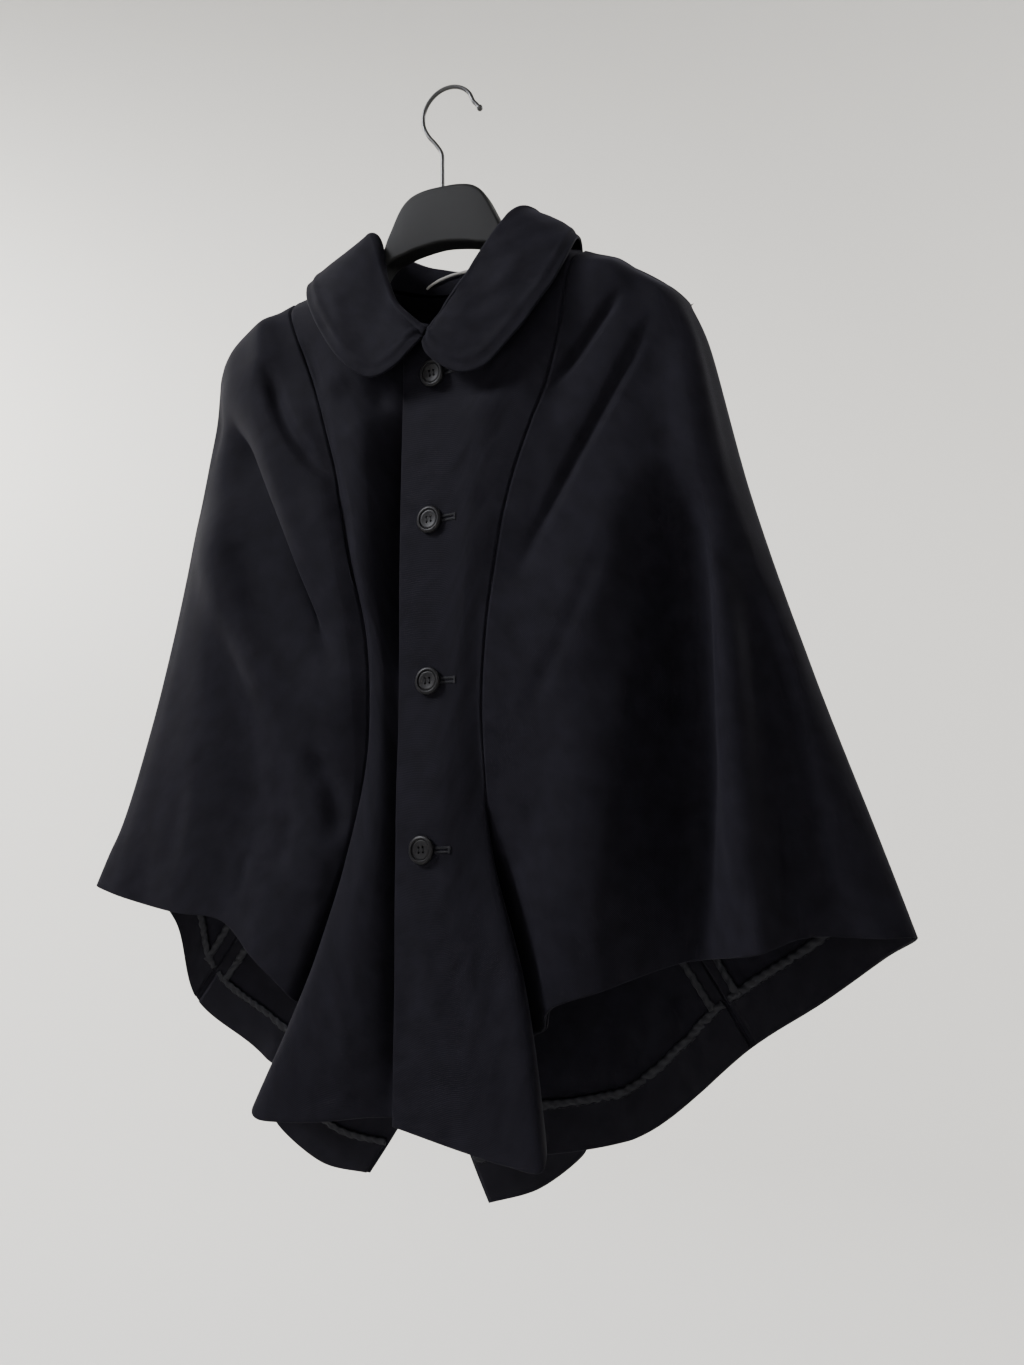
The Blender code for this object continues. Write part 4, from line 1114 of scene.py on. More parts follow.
def make_binding(name, points, normals, centre_depth, start):
    """Makes a puckered binding along an edge; depth is measured inwards from the cloth's face."""
    spots, normals, marks = evenly(points, normals, BINDING_STEP)
    across = unit(np.cross(unit(np.gradient(spots, axis=0)), normals))
    drift = uneven_waves(marks, *BINDING_DRIFT, start)
    swell = 1 + uneven_waves(marks, *BINDING_SWELL, start)
    rings = []
    for k in range(BINDING_SIDES):
        angle = 2 * math.pi * k / BINDING_SIDES
        slant = np.sin(2 * np.pi * marks / PUCKER_PITCH + PUCKER_SLANT * math.cos(angle) + drift)
        fine = np.sin(2.3 * marks / PUCKER_PITCH * np.pi + angle)
        radius = swell * (1 + PUCKER_SHARE * slant + FINE_PUCKER_SHARE * fine)
        wide = 0.5 * BINDING_WIDTH * radius * math.cos(angle)
        deep = 0.5 * BINDING_THICKNESS * (0.4 * radius + 0.6 + 0.34 * slant) * math.sin(angle)
        rings.append(spots + across * wide[:, None] - normals * (centre_depth + deep)[:, None])
    around = math.pi * (BINDING_WIDTH + BINDING_THICKNESS) / 2
    return tube(name, np.stack(rings, axis=1), satin, around)


bindings, stitch_paths = {}, []
for half in halves.values():
    for number, (name, first, last) in enumerate(PANELS):
        start, end = half.line_at[first] + 1, half.line_at[last] - 1
        points, normals = half.up_from_hem(
            start, end, (HEM_DEPTH - BINDING_FROM_EDGE, HEM_DEPTH - STITCHES_FROM_EDGE),
        )
        bindings[f"{name}_{half.side}"] = make_binding(
            f"binding_{name}_{half.side}", points[:, 0], normals[:, 0], HEM_BINDING_DEPTH, 1.3 * number,
        )
        lift = normals[:, 1] * (CLOTH_THICKNESS + LAID_ON_GAP + HEM_THICKNESS + STITCH_LIFT)
        stitch_paths.append((points[:, 1] - lift, -normals[:, 1]))
print("bindings:", len(bindings), "and stitch lines beside them:", len(stitch_paths))

# %% [markdown]
# Inside the back, the long seams are pressed open: each panel's allowance lies flat on its own side
# and its edge is bound like the hem. They run from the yoke down into the hem and show through the
# gaps below the front. Each is a narrow strip with a binding on its free edge.
# %% Pressed-open seams
ALLOWANCE_WIDTH = 13.0
ALLOWANCE_THICKNESS = 0.9
ALLOWANCE_TOP_ROW = 1.1
ALLOWANCE_BOTTOM_ROW = HEM_ROW - 0.02
ALLOWANCE_SPREAD = (0.7, 2.5, 6.0, 9.5, ALLOWANCE_WIDTH)
ALLOWANCE_INTO_HEM = 4.0
ALLOWANCE_LIFT = 0.45
ALLOWANCE_EDGE_LIFT = 0.55
ALLOWANCE_WAVE = 0.25
ALLOWANCE_WAVES = ((47.0, 83.0), (0.5, 0.6))
ALLOWANCE_SEAMS = ("back_seam", "side_seam")


def make_allowance(half, seam, direction):
    """Makes one allowance with its binding and gives both pieces."""
    from_hem = lengths_along(half.grid[half.line_at[seam], ::-1])[::-1]
    lowest = HEM_DEPTH - ALLOWANCE_INTO_HEM
    rows = [
        row for row in range(0, len(half.rows), 2)
        if ALLOWANCE_TOP_ROW < half.rows[row] < ALLOWANCE_BOTTOM_ROW and from_hem[row] > lowest
    ]
    points, normals = half.beside_line(seam, direction, rows, ALLOWANCE_SPREAD)
    along = cloth_distances(points)[:, :, 1]
    wave = ALLOWANCE_WAVE * uneven_waves(along, *ALLOWANCE_WAVES, direction)
    depth = (CLOTH_THICKNESS + ALLOWANCE_LIFT + wave)[:, :, None]
    name = f"{seam}_{half.side}_{'on' if direction > 0 else 'back'}"
    strip = shell(
        f"allowance_{name}",
        points - normals * depth, points - normals * (depth + ALLOWANCE_THICKNESS), hem_wool,
    )
    centre_depth = CLOTH_THICKNESS + ALLOWANCE_EDGE_LIFT + BINDING_THICKNESS / 2
    edge = make_binding(f"edge_{name}", points[-1], normals[-1], centre_depth, 2.0 + direction)
    return strip, edge


allowances = {}
for half in halves.values():
    for seam in ALLOWANCE_SEAMS:
        for direction in (1, -1):
            strip, edge = make_allowance(half, seam, direction)
            column = PANELS[[panel[2] for panel in PANELS].index(seam) + (direction > 0)][0]
            allowances[strip.name] = (strip, edge, f"{column}_{half.side}")
print("allowances:", len(allowances))

# %% [markdown]
# The collar is one piece folded over: a stand that rises from the neck seam, a soft roll, and a fall
# that lies on the shoulders with a round end on each side of the front. It is worked out as a
# section at each station round the neck, and a smooth curve joins the stations. Its outer edge is
# two layers turned against each other, so it is a little thicker for the width of that turning.
# %% Collar
# Half a collar from the centre front to the centre back
COLLAR_COLUMNS = (
    "neck_x", "neck_y", "neck_z", "roll_x", "roll_y", "roll_z",
    "edge_x", "edge_y", "edge_z", "roll_radius",
)
COLLAR_LEFT = (
    (9, -33, -222, 8, -42, -222, 4, -46, -231, 3.0),
    (17, -33, -214, 16, -40, -211, 6, -47, -240, 3.0),
    (27, -32, -206, 24, -38, -199, 18, -48, -252, 3.1),
    (37, -31, -197, 33, -35, -186, 37, -49, -262, 3.2),
    (47, -27, -184, 42, -29, -170, 56, -49, -260, 3.3),
    (56, -22, -171, 50, -23, -153, 76, -47, -242, 3.4),
    (64, -15, -160, 57, -17, -138, 94, -42, -221, 3.5),
    (70, -7, -152, 64, -9, -124, 107, -37, -201, 3.7),
    (72, 3, -149, 70, 0, -117, 116, -28, -178, 3.9),
    (71, 14, -149, 75, 12, -116, 119, -6, -153, 4.1),
    (64, 25, -150, 72, 28, -118, 114, 18, -157, 4.3),
    (50, 33, -152, 57, 40, -122, 101, 46, -182, 4.4),
    (26, 40, -155, 31, 48, -129, 60, 56, -202, 4.5),
    (0, 43, -156, 0, 51, -135, 0, 60, -207, 4.5),
)
COLLAR_RIGHT = (
    (3, -32, -214, 3, -40, -221, 2, -45, -228, 3.0),
    (-12, -30, -209, -13, -37, -206, -6, -47, -236, 3.1),
    (-27, -27, -203, -28, -31, -190, -22, -48, -249, 3.2),
    (-40, -25, -190, -38, -24, -172, -42, -48, -254, 3.3),
    (-51, -20, -176, -46, -18, -153, -67, -47, -238, 3.4),
    (-60, -14, -162, -53, -12, -130, -90, -41, -209, 3.5),
    (-68, -7, -152, -61, -5, -115, -106, -33, -184, 3.7),
    (-71, 3, -147, -68, 3, -112, -118, -21, -162, 4.0),
    (-70, 14, -147, -73, 14, -112, -125, -4, -146, 4.2),
    (-63, 25, -149, -70, 29, -113, -122, 18, -153, 4.3),
    (-50, 33, -151, -56, 40, -118, -105, 47, -180, 4.4),
    (-26, 40, -155, -30, 48, -128, -60, 56, -202, 4.5),
    (0, 43, -156, 0, 51, -135, 0, 60, -207, 4.5),
)
COLLAR_THICKNESS = 2.4
COLLAR_BULGE = 2.5
COLLAR_STEPS = 300
ROLL_STEPS = 14
FALL_STEPS = 30
COLLAR_TURNING = 8.5
COLLAR_TURNING_LIFT = 0.8
COLLAR_TURNING_SLOPE = 3.0
# The groove beside the turning: its depth, its distance from it and its width
COLLAR_GROOVE = 0.7
GROOVE_PLACE = 4.0
GROOVE_WIDTH = 3.2
# Faint ripples that fade out towards the outer edge
COLLAR_RIPPLE = 0.3
COLLAR_RIPPLE_SLANT = 0.6
COLLAR_RIPPLE_WAVES = ((34.0, 58.0), (0.5, 0.7))
COLLAR_RIPPLE_FADE = 12

# Soft dents in the fall: x and z of three places, the depth and the width
COLLAR_DENTS = (
    (84, -232, 96, -214, 104, -190, 1.6, 7),
    (58, -200, 74, -186, 86, -164, 1.5, 8),
    (44, -236, 62, -228, 76, -214, -0.9, 8),
    (30, -222, 40, -206, 52, -190, 1.0, 9),
    (-64, -206, -78, -190, -88, -168, 1.5, 8),
    (-40, -228, -54, -214, -66, -196, -0.9, 8),
    (-58, -232, -74, -222, -92, -208, 1.0, 7),
)
DENT_TAPER = 0.4
DENTS_BEFORE_Y = -4


def collar_section(row):
    """The face side of the collar across one station: stand, roll and fall."""
    neck, roll, edge = (
        np.array([row[f"{name}_x"], row[f"{name}_y"], row[f"{name}_z"]], dtype=float)
        for name in ("neck", "roll", "edge")
    )
    to_neck, to_edge = unit(neck - roll), unit(edge - roll)
    down = unit(to_neck + to_edge)
    out = unit(to_edge - down * np.dot(to_edge, down))
    radius = row["roll_radius"]
    centre = roll + down * radius
    turn = [
        centre + radius * (-out * math.cos(angle) - down * math.sin(angle))
        for angle in np.linspace(0, math.pi, ROLL_STEPS)
    ]
    stand = [neck + (turn[0] - neck) * part for part in np.linspace(0, 1, 9)[:-1]]
    fall = [
        turn[-1] + (edge - turn[-1]) * part + out * COLLAR_BULGE * math.sin(math.pi * part)
        for part in np.linspace(0, 1, FALL_STEPS)[1:]
    ]
    return [*stand, *turn, *fall]


def make_collar():
    """Makes the collar as one folded wall round the neck, open at the centre front."""
    left = np.array([collar_section(row) for row in table(COLLAR_LEFT, COLLAR_COLUMNS)])
    right = np.array([collar_section(row) for row in table(COLLAR_RIGHT, COLLAR_COLUMNS)])
    stations = np.concatenate([left, right[::-1][1:]])
    places = np.linspace(0, len(stations) - 1, COLLAR_STEPS)
    face = np.stack([smooth_curve(stations[:, k], places) for k in range(stations.shape[1])], axis=1)
    normals = grid_normals(face, -1)
    down = np.linalg.norm(np.diff(face, axis=1), axis=2)[:, ::-1]
    to_edge = np.concatenate([np.cumsum(down, axis=1)[:, ::-1], np.zeros((len(face), 1))], axis=1)
    inside = COLLAR_TURNING + COLLAR_TURNING_SLOPE / 2 - to_edge
    turning = smooth_step(inside / COLLAR_TURNING_SLOPE) * COLLAR_TURNING_LIFT
    slanted = cloth_distances(face)[:, :, 0] + COLLAR_RIPPLE_SLANT * to_edge
    ripple = COLLAR_RIPPLE * uneven_waves(slanted, *COLLAR_RIPPLE_WAVES, 0.7)
    groove = COLLAR_GROOVE * np.exp(-(((to_edge - COLLAR_TURNING - GROOVE_PLACE) / GROOVE_WIDTH) ** 2))
    push = turning + ripple * smooth_step(to_edge / COLLAR_RIPPLE_FADE) - groove
    flat = face[:, :, (0, 2)].reshape(-1, 2)
    front = (face[:, :, 1] < DENTS_BEFORE_Y).reshape(-1)
    for *path, depth, width in COLLAR_DENTS:
        dent = fold_push(flat, path, depth, width, DENT_TAPER, 0.0)
        push -= np.where(front, dent, 0.0).reshape(push.shape)
    face = face + normals * push[:, :, None]
    face, normals, sunk, raised = turn_edges(face, normals, FOLD_EDGE, FOLD_EDGE)
    outer = face - normals * sunk[:, :, None]
    inner = face - normals * (COLLAR_THICKNESS - raised)[:, :, None]
    return shell("collar_cloth", outer, inner, wool), face


collar, collar_face = make_collar()
cuts["collar"] = cut_size(collar_face, rows=-1)
print("collar cut in m:", [round(value, 3) for value in cuts["collar"]["flat"]])

# %% [markdown]
# A button is turned, so it is a profile carried round an axis: a flat back, a round rim, a narrow
# groove and a dished middle with four drilled holes. The holes are cut by a Boolean, which needs a
# closed solid on both sides. The button sits on the left front where the surface says, tipped to lie
# flat on it.
# %% Buttons
BUTTON_DIAMETER = 21.6
BUTTON_THICKNESS = 3.8
BUTTON_X = 6.5
BUTTON_HEIGHTS = (-253.0, -371.0, -496.0, -622.0)
BUTTON_SIDES = 72
HOLE_SPACING_RADIUS = 2.6
HOLE_RADIUS = 0.95
HOLE_SIDES = 20
HOLE_TURN = 50.0
HOLE_PLACES = [
    (HOLE_SPACING_RADIUS * math.cos(angle), HOLE_SPACING_RADIUS * math.sin(angle))
    for angle in np.radians([HOLE_TURN + 90 * step for step in range(4)])
]
RIM_ROUND = 1.75
RIM_MIDDLE = 1.85
RIM_ANGLES = (-60, 75)
# The back from its middle to the rim: a share of the radius, and the height
BUTTON_BACK = ((0.0, 0.0), (0.78, 0.0), (0.9, 0.35))
# The face from the rim to the middle: a share of the radius, and the depth below the top
BUTTON_FACE = (
    (0.845, 0.06), (0.8, 0.0), (0.755, 0.14), (0.735, 0.5), (0.72, 1.15), (0.7, 1.3),
    (0.675, 1.1), (0.64, 0.86), (0.55, 0.95), (0.42, 1.16), (0.2, 1.34), (0.0, 1.4),
)
SHARP_ANGLE = 38


def button_profile():
    """Radius and height of the button from the middle of its back to its dished middle."""
    radius, top = BUTTON_DIAMETER / 2, BUTTON_THICKNESS
    points = [(radius * share, height) for share, height in BUTTON_BACK]
    for angle in np.radians(np.linspace(*RIM_ANGLES, 9)):
        reach = radius - RIM_ROUND + RIM_ROUND * math.cos(angle)
        points.append((reach, RIM_MIDDLE + RIM_ROUND * math.sin(angle)))
    return points + [(radius * share, top - depth) for share, depth in BUTTON_FACE]


def button_seat(half, height):
    """Finds where a button lies at a height: the middle of its back and its outward direction."""
    last = half.line_at["breast"]
    patch = half.grid[:last + 1].reshape(-1, 3)
    turned = half.normals[:last + 1].reshape(-1, 3)
    middle = int(np.argmin(np.hypot(patch[:, 0] - BUTTON_X, patch[:, 2] - height)))
    reach = np.linalg.norm(patch - patch[middle], axis=1) < BUTTON_DIAMETER / 2
    normal = unit(turned[reach].mean(axis=0))
    centre = np.array([BUTTON_X, patch[middle, 1], height])
    lift = float(((patch[reach] - centre) @ normal).max())
    return centre + normal * (lift + LAID_ON_GAP), normal


def turned_solid(name, profile, sides, finish):
    """Carries a profile that starts and ends on the axis round it; the solid stands on the origin."""
    vertices, faces, rings = [], [], []
    for radius, rise in profile:
        if radius == 0.0:
            rings.append([len(vertices)])
            vertices.append((0.0, 0.0, rise))
            continue
        rings.append(list(range(len(vertices), len(vertices) + sides)))
        for angle in np.linspace(0, 2 * math.pi, sides, endpoint=False):
            vertices.append((radius * math.cos(angle), radius * math.sin(angle), rise))
    for low, high in zip(rings[:-1], rings[1:]):
        for step in range(sides):
            after = (step + 1) % sides
            if len(low) == 1:
                faces.append((low[0], high[after], high[step]))
            elif len(high) == 1:
                faces.append((low[step], low[after], high[0]))
            else:
                faces.append((low[step], low[after], high[after], high[step]))
    mesh = bpy.data.meshes.new(name)
    mesh.from_pydata(vertices, [], faces)
    mesh.materials.append(finish)
    return link(name, mesh)


def seat_matrix(seat, normal):
    """Stands a piece made round Z, in millimetres, on its seat, in metres."""
    across = unit(np.array([1.0, 0.0, 0.0]) - normal * normal[0])
    upward = np.cross(normal, across)
    turn = Matrix((across, upward, normal)).transposed().to_4x4()
    return Matrix.Translation(Vector(seat) * MM) @ turn @ Matrix.Scale(MM, 4)


def evaluated_copy(source, name, finish):
    """Turns an object with modifiers into a plain mesh object at the origin, in one finish."""
    bpy.context.view_layer.update()
    seen = source.evaluated_get(bpy.context.evaluated_depsgraph_get())
    mesh = bpy.data.meshes.new_from_object(seen)
    mesh.transform(source.matrix_world)
    mesh.materials.clear()
    mesh.materials.append(finish)
    mesh.polygons.foreach_set("material_index", [0] * len(mesh.polygons))
    bpy.data.objects.remove(source, do_unlink=True)
    return link(name, mesh)


def make_button(number, height):
    """Makes one drilled button in its place on the left front."""
    solid = turned_solid(f"button_blank_{number}", button_profile(), BUTTON_SIDES, horn)
    low, high = -2.0, BUTTON_THICKNESS + 2.0
    rod = [(0.0, low), (HOLE_RADIUS, low), (HOLE_RADIUS, high), (0.0, high)]
    drills = []
    for x, y in HOLE_PLACES:
        drill = turned_solid("drill", rod, HOLE_SIDES, horn)
        for vertex in drill.data.vertices:
            vertex.co.x += x
            vertex.co.y += y
        cut = solid.modifiers.new("hole", "BOOLEAN")
        cut.operation = "DIFFERENCE"
        cut.object = drill
        drills.append(drill)
    seat, normal = button_seat(halves["left"], height)
    solid.matrix_world = seat_matrix(seat, normal)
    for drill in drills:
        drill.matrix_world = solid.matrix_world
    plain = evaluated_copy(solid, f"coat_button_{number}", horn)
    for drill in drills:
        bpy.data.objects.remove(drill, do_unlink=True)
    plain.data.shade_smooth()
    plain.data.set_sharp_from_angle(angle=math.radians(SHARP_ANGLE))
    return plain, seat, normal


buttons = [make_button(number, height) for number, height in enumerate(BUTTON_HEIGHTS, start=1)]
print("buttons:", [[round(value) for value in seat] for _, seat, _ in buttons])

# %% [markdown]
# Sewing repeats the same small thing along a path, which is what Geometry Nodes are for. The tree
# below walks along a line of points, spaces them evenly, and lays one stitch at each: a small rounded
# length of thread. Two directions come with the line as attributes: out of the cloth, and along the
# stitch. A fixed seed makes the stitches slightly uneven. Realize Instances turns them into a real
# mesh, because an export leaves instances out.
# %% A tree that lays stitches along a path
def stitch_tree(name, finish):
    """Builds the stitch tree and gives it with the identifiers of its inputs."""
    tree = bpy.data.node_groups.new(name, "GeometryNodeTree")
    tree.interface.new_socket("Path", in_out="INPUT", socket_type="NodeSocketGeometry")
    sizes = {}
    for label, value in (
        ("Spacing", 0.002), ("Stitch length", 0.002), ("Thread radius", 0.0003), ("Unevenness", 0.15),
    ):
        socket = tree.interface.new_socket(label, in_out="INPUT", socket_type="NodeSocketFloat")
        socket.default_value = value
        sizes[label] = socket.identifier
    tree.interface.new_socket("Stitches", in_out="OUTPUT", socket_type="NodeSocketGeometry")
    start = add(tree, "NodeGroupInput")
    line = add(tree, "GeometryNodeMeshToCurve", {"Mesh": start.outputs["Path"]})
    even = add(
        tree, "GeometryNodeResampleCurve",
        {"Curve": line.outputs["Curve"], "Length": start.outputs["Spacing"]}, mode="LENGTH",
    )
    out = add(tree, "GeometryNodeInputNamedAttribute", {"Name": "out"}, data_type="FLOAT_VECTOR")
    lie = add(tree, "GeometryNodeInputNamedAttribute", {"Name": "lie"}, data_type="FLOAT_VECTOR")
    turn = add(
        tree, "FunctionNodeAxesToRotation",
        {0: out.outputs[0], 1: lie.outputs[0]}, primary_axis="Z", secondary_axis="X",
    )
    low = add(tree, "ShaderNodeMath", {0: 1.0, 1: start.outputs["Unevenness"]}, operation="SUBTRACT")
    high = add(tree, "ShaderNodeMath", {0: 1.0, 1: start.outputs["Unevenness"]}, operation="ADD")
    size = add(
        tree, "FunctionNodeRandomValue",
        {2: low.outputs[0], 3: high.outputs[0], "Seed": 7}, data_type="FLOAT",
    )
    bead = add(
        tree, "GeometryNodeMeshUVSphere", {"Segments": 8, "Rings": 6, "Radius": 1.0},
    )
    half_length = add(
        tree, "ShaderNodeMath", {0: start.outputs["Stitch length"], 1: 0.5}, operation="MULTIPLY",
    )
    shape = add(
        tree, "ShaderNodeCombineXYZ",
        {
            "X": half_length.outputs[0], "Y": start.outputs["Thread radius"],
            "Z": start.outputs["Thread radius"],
        },
    )
    uneven = add(
        tree, "ShaderNodeVectorMath",
        {0: shape.outputs[0], 1: size.outputs[1]}, operation="MULTIPLY",
    )
    laid = add(
        tree, "GeometryNodeInstanceOnPoints",
        {
            "Points": even.outputs[0], "Instance": bead.outputs["Mesh"],
            "Rotation": turn.outputs[0], "Scale": uneven.outputs[0],
        },
    )
    real = add(tree, "GeometryNodeRealizeInstances", {"Geometry": laid.outputs[0]})
    smooth = add(tree, "GeometryNodeSetShadeSmooth", {0: real.outputs[0]})
    dressed = add(
        tree, "GeometryNodeSetMaterial", {"Geometry": smooth.outputs[0], "Material": finish},
    )
    add(tree, "NodeGroupOutput", {0: dressed.outputs[0]})
    return tree, sizes


sewing, sewing_sizes = stitch_tree("stitches along a path", thread)
print("stitch tree:", len(sewing.nodes), "nodes with inputs", list(sewing_sizes))


def sew(name, lines, spacing, length, radius, unevenness=0.15):
    """Lays stitches along lines; a line has points, outward directions and stitch directions."""
    vertices, edges, outs, lies = [], [], [], []
    for points, out, lie in lines:
        base = len(vertices)
        vertices += [tuple(point * MM) for point in points]
        edges += [(base + k, base + k + 1) for k in range(len(points) - 1)]
        outs += [tuple(value) for value in out]
        lies += [tuple(value) for value in lie]
    mesh = bpy.data.meshes.new(name)
    mesh.from_pydata(vertices, edges, [])
    for label, values in (("out", outs), ("lie", lies)):
        layer = mesh.attributes.new(label, "FLOAT_VECTOR", "POINT")
        layer.data.foreach_set("vector", np.asarray(values, dtype=np.float32).ravel())
    path = link(f"{name}_path", mesh)
    modifier = path.modifiers.new("stitches", "NODES")
    modifier.node_group = sewing
    for label, value in (
        ("Spacing", spacing * MM), ("Stitch length", length * MM),
        ("Thread radius", radius * MM), ("Unevenness", unevenness),
    ):
        modifier[sewing_sizes[label]] = value
    return evaluated_copy(path, name, thread)


# %% [markdown]
# A buttonhole is a slit whose two lips are closely whipped with thread, and its end is closed by a
# bar. The lower three show beside their buttons, rising a little to the right. The same tree sews
# them, the threads in the buttons' holes, and the running stitch that holds the binding.
# %% Buttonholes and other sewing
BUTTONHOLE_START = 2.0
BUTTONHOLE_END = 21.0
BUTTONHOLE_RISE = 0.6
LIP_OFFSET = 1.6
LIP_STITCH = 2.1
BAR_HEIGHT = 4.9
BAR_BEYOND = 0.7
LIP_LIFT = 0.3
BAR_LIFT = LIP_LIFT + 0.15
THREAD_DEPTH = 1.1
THREAD_SPREAD = 0.3


def on_left_front(x, z):
    """The point of the left front at a place seen from the front, with its outward direction."""
    last = halves["left"].line_at["front_seam"]
    patch = halves["left"].grid[:last].reshape(-1, 3)
    turned = halves["left"].normals[:last].reshape(-1, 3)
    nearest = int(np.argmin(np.hypot(patch[:, 0] - x, patch[:, 2] - z)))
    spot, normal = patch[nearest], turned[nearest]
    y = spot[1] - ((x - spot[0]) * normal[0] + (z - spot[2]) * normal[2]) / normal[1]
    return np.array([x, y, z]), normal


def surface_line(x_from, z_from, x_to, z_to, lift, count=12):
    """A line that follows the left front between two places, lifted off it."""
    places = zip(np.linspace(x_from, x_to, count), np.linspace(z_from, z_to, count))
    spots = [on_left_front(x, z) for x, z in places]
    points = np.array([spot + normal * lift for spot, normal in spots])
    normals = np.array([normal for _, normal in spots])
    return points, normals, unit(np.gradient(points, axis=0))


def buttonhole_lines(height):
    """The stitch lines of one buttonhole: two lips and the bar at its end."""
    lines = []
    start_x, end_x = BUTTON_X + BUTTONHOLE_START, BUTTON_X + BUTTONHOLE_END
    for offset in (LIP_OFFSET, -LIP_OFFSET):
        points, normals, tangents = surface_line(
            start_x, height + offset, end_x, height + offset + BUTTONHOLE_RISE, LIP_LIFT,
        )
        lines.append((points, normals, np.cross(normals, tangents)))
    middle, bar_x = height + BUTTONHOLE_RISE, end_x + BAR_BEYOND
    points, normals, tangents = surface_line(
        bar_x, middle - BAR_HEIGHT / 2, bar_x, middle + BAR_HEIGHT / 2, BAR_LIFT,
    )
    lines.append((points, normals, np.cross(normals, tangents)))
    return lines


def button_thread_lines(seat, normal):
    """The two short lines across which a button's threads lie, between its upper and lower holes."""
    across = unit(np.array([1.0, 0.0, 0.0]) - normal * normal[0])
    upward = np.cross(normal, across)
    corners = [across * x + upward * y for x, y in HOLE_PLACES]
    lines = []
    for top, bottom in ((corners[0], corners[3]), (corners[1], corners[2])):
        middle = seat + normal * (BUTTON_THICKNESS - THREAD_DEPTH) + (top + bottom) / 2
        lie = unit(top - bottom)
        side = np.cross(lie, normal)
        points = np.array([middle + side * place for place in (-THREAD_SPREAD, 0.0, THREAD_SPREAD)])
        lines.append((points, np.tile(normal, (3, 1)), np.tile(lie, (3, 1))))
    return lines


buttonholes = sew(
    "buttonhole_stitches", [line for height in BUTTON_HEIGHTS for line in buttonhole_lines(height)],
    spacing=0.52, length=LIP_STITCH, radius=0.34,
)
button_threads = sew(
    "button_threads", [line for _, seat, normal in buttons for line in button_thread_lines(seat, normal)],
    spacing=0.3, length=4.1, radius=0.13, unevenness=0.06,
)
binding_stitches = sew(
    "binding_stitches", [(points, out, unit(np.gradient(points, axis=0))) for points, out in stitch_paths],
    spacing=3.6, length=2.4, radius=0.24,
)
sewn = (buttonholes, button_threads, binding_stitches)
print("stitch faces:", [len(piece.data.polygons) for piece in sewn])

# %% [markdown]
# The hanger is one moulding: a tall crown and two broad arms. Its sections are named sizes at a few
# places along one arm, and a smooth curve fills in between. Every corner is a round, as a mould
# needs, which gives the thin bright rim along the top. The hook is a wire bent to a path, with a
# small ball pressed on its tip.
# %% Hanger and hook
# Sections along one arm of the hanger, from its middle to its tip: x, top, bottom, front, back and
# the rounding of the two upper corners
HANGER = (
    (0, -85, -133.5, -9, 9, 5),
    (16, -85.7, -135, -9, 9, 5),
    (27, -88.6, -137, -9, 9, 5),
    (34, -93.5, -139, -9, 9, 5),
    (39, -100, -140, -9, 9, 5),
    (45, -111.5, -142.5, -9, 9, 5),
    (51, -124, -147, -9, 9, 5),
    (56, -137, -154, -8, 9, 6),
    (59.5, -151, -165, -7, 9, 6),
    (63, -158.5, -172, -7, 10, 6),
    (75, -161.5, -182, -8, 11, 8),
    (116, -164.2, -192, -12, 12, 10),
    (146, -173.1, -203, -12, 12, 10),
    (168, -190.3, -219, -12, 12, 10),
    (182, -204, -229, -11, 11, 9),
    (190, -215, -231, -7, 7, 6),
)
HANGER_SHIFT = 2.3

# The hook: a stem, a bend to one side and an arc over the top, seen from the front
HOOK_CENTRE_X = 6.0
HOOK_CENTRE_Z = -21.5
HOOK_RADIUS = 23.4
HOOK_STEM = ((0, -84.6), (0, -66), (-0.5, -54), (-6, -44.5), (-12.5, -36))
HOOK_TIP = ((31, -18.5), (34, -22.5), (36.3, -24))
HOOK_ANGLES = (192, 14)
HOOK_STEPS = 14

# The hanging loop at the back of the neck
LOOP_WIDTH = 2.6
LOOP_THICKNESS = 1.0
LOOP_PATH = (
    (-36, 37.2, -150),
    (-30, 38.4, -144.5),
    (-14, 41, -138),
    (4, 42, -136.5),
    (22, 40, -140),
    (31, 38, -145.5),
    (36, 36.9, -151),
)
LOOP_STEPS = 90
LOOP_SIDES = 12

# The wire and the rounds of the moulding
WIRE_DIAMETER = 3.4
WIRE_STEP = 0.5
HANGER_TILT = 1.8
HANGER_STEPS = 9
UNDER_ROUND = 2.2
BALL_RADIUS = 2.6
WIRE_SIDES = 24


def arc(centre_y, centre_z, radius, from_angle, to_angle, count):
    """Points of an arc seen along the hanger."""
    return [
        (centre_y + radius * math.cos(angle), centre_z + radius * math.sin(angle))
        for angle in np.radians(np.linspace(from_angle, to_angle, count))
    ]


def hanger_section(x, top, bottom, front, back, rounding):
    """One section of the hanger with all its corners rounded."""
    bend = min(rounding, (top - bottom) * 0.45)
    outline = arc(front + UNDER_ROUND, bottom + UNDER_ROUND, UNDER_ROUND, 270, 180, 5)
    outline += arc(front + bend, top - bend, bend, 180, 90, 9)
    outline += arc(back - bend, top - bend, bend, 90, 0, 9)
    outline += arc(back - UNDER_ROUND, bottom + UNDER_ROUND, UNDER_ROUND, 0, -90, 5)
    tilt_x, tilt_z = math.cos(math.radians(HANGER_TILT)), math.sin(math.radians(HANGER_TILT))
    return [(HANGER_SHIFT + x * tilt_x + (z - top) * tilt_z, y, z - x * tilt_z) for y, z in outline]


def make_hanger():
    """Makes the moulded body from its middle out along both arms."""
    arm = np.array(HANGER, dtype=float)
    other = arm[:0:-1] * (-1, 1, 1, 1, 1, 1)
    rows = np.concatenate([other, arm])
    sizes = smooth_curve(rows, np.linspace(0, len(rows) - 1, HANGER_STEPS * (len(rows) - 1) + 1))
    rings = [hanger_section(*values) for values in sizes]
    return tube("hanger_moulding", rings, plastic, 100.0)


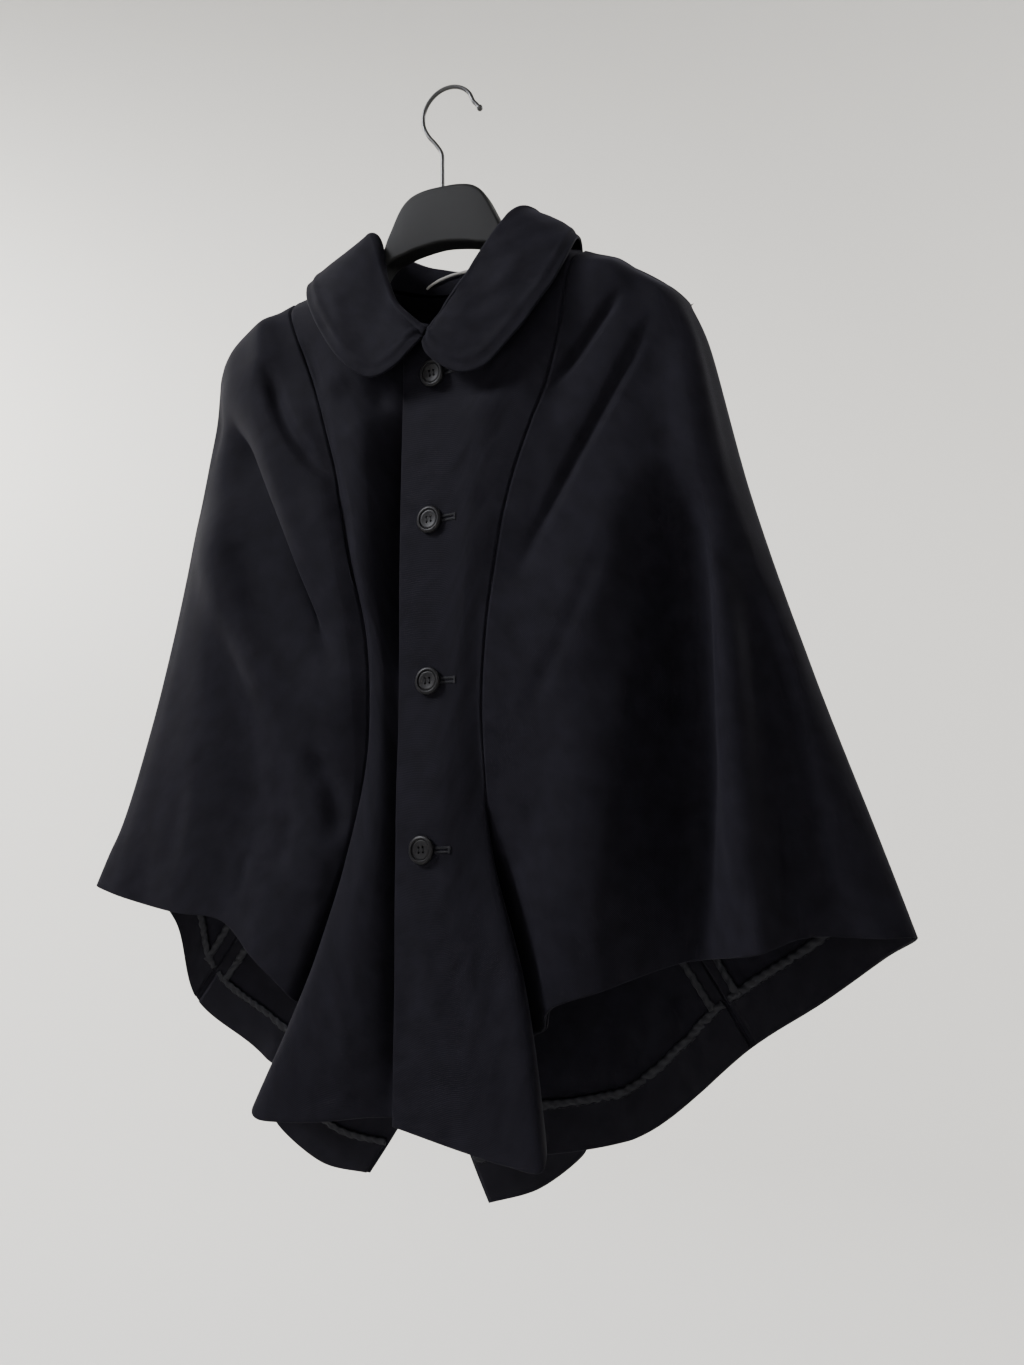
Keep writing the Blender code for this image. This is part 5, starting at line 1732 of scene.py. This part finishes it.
def swept(name, path, radii, sides, finish, flatten=1.0):
    """Carries a round or flattened section along a path."""
    rings = []
    for point, tangent, radius in zip(path, unit(np.gradient(path, axis=0)), radii):
        level = unit(np.array([0.0, 1.0, 0.0]) - tangent * tangent[1])
        lift = np.cross(tangent, level)
        rings.append([
            point + radius * (flatten * level * math.cos(angle) + lift * math.sin(angle))
            for angle in np.linspace(0, 2 * math.pi, sides, endpoint=False)
        ])
    return tube(name, rings, finish, 2 * math.pi * max(radii))


def make_hook():
    """Bends the wire: a stem, an arc over the top and a ball at the tip."""
    bend = [
        (HOOK_CENTRE_X + HOOK_RADIUS * math.cos(angle), HOOK_CENTRE_Z + HOOK_RADIUS * math.sin(angle))
        for angle in np.radians(np.linspace(*HOOK_ANGLES, 9))
    ]
    outline = [(x, 0.0, z) for x, z in (*HOOK_STEM, *bend, *HOOK_TIP)]
    path = smooth_curve(outline, np.linspace(0, len(outline) - 1, HOOK_STEPS * (len(outline) - 1) + 1))
    path, _, marks = evenly(path, np.tile((0.0, 1.0, 0.0), (len(path), 1)), WIRE_STEP)
    from_tip = marks[-1] - marks
    inside = np.maximum(BALL_RADIUS**2 - (from_tip - BALL_RADIUS) ** 2, 0.04)
    radii = np.maximum(np.where(from_tip > BALL_RADIUS, WIRE_DIAMETER / 2, 0.0), np.sqrt(inside))
    return swept("hanger_wire_hook", path, radii, WIRE_SIDES, wire)


hanger = make_hanger()
hook = make_hook()
print("hanger faces:", len(hanger.data.polygons), "hook faces:", len(hook.data.polygons))

# %% [markdown]
# The hanging loop is a narrow tape whose ends are caught in the back neck seam. It droops between
# them and leans on the collar's stand.
# %% Hanging loop
def make_loop():
    """Makes the tape with a slightly waved flat section."""
    path = smooth_curve(LOOP_PATH, np.linspace(0, len(LOOP_PATH) - 1, LOOP_STEPS))
    marks = np.linspace(0, 1, len(path))
    radii = LOOP_WIDTH / 2 * (1 + 0.06 * np.sin(marks * 31) + 0.05 * np.sin(marks * 53 + 1))
    return swept("loop_tape", path, radii, LOOP_SIDES, tape, flatten=LOOP_THICKNESS / LOOP_WIDTH)


loop = make_loop()
print("loop faces:", len(loop.data.polygons))

# %% [markdown]
# Now every piece is tied to the model. The coat has no joints, so all of it rides on one body. Each dressed
# piece takes the place of its plain solid. For each panel, the hems, bindings, allowances and stitches that
# go with it are gathered in a list.
# %% Tying the pieces to the model
replaced = [(piece, node) for node, piece in panels.items()]
replaced += [
    (hems[node.removeprefix("turned_hem_")], node)
    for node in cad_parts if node.startswith("turned_hem_")
]
replaced += [(piece, f"button_{number}") for number, (piece, _, _) in enumerate(buttons, start=1)]
replaced += [(collar, "collar"), (hanger, "hanger_body"), (hook, "hanger_hook"), (loop, "neck_loop")]
for piece, node in replaced:
    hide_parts(node)

dressed = [*panels.values(), *hems.values(), *bindings.values(), collar, hanger, hook, loop]
dressed += [piece for piece, _, _ in buttons] + [*sewn]
dressed += [piece for strip, edge, _ in allowances.values() for piece in (strip, edge)]
for piece in dressed:
    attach(piece, "root")

for node, panel in panels.items():
    beside = [hems[node], bindings[node]]
    for strip, edge, home in allowances.values():
        beside += [strip, edge] if home == node else []
    if node == "front_left":
        beside.append(buttonholes)
    if node == "back_left":
        beside.append(binding_stitches)
print("pieces:", len(dressed), "of which", len(replaced), "replace a solid")
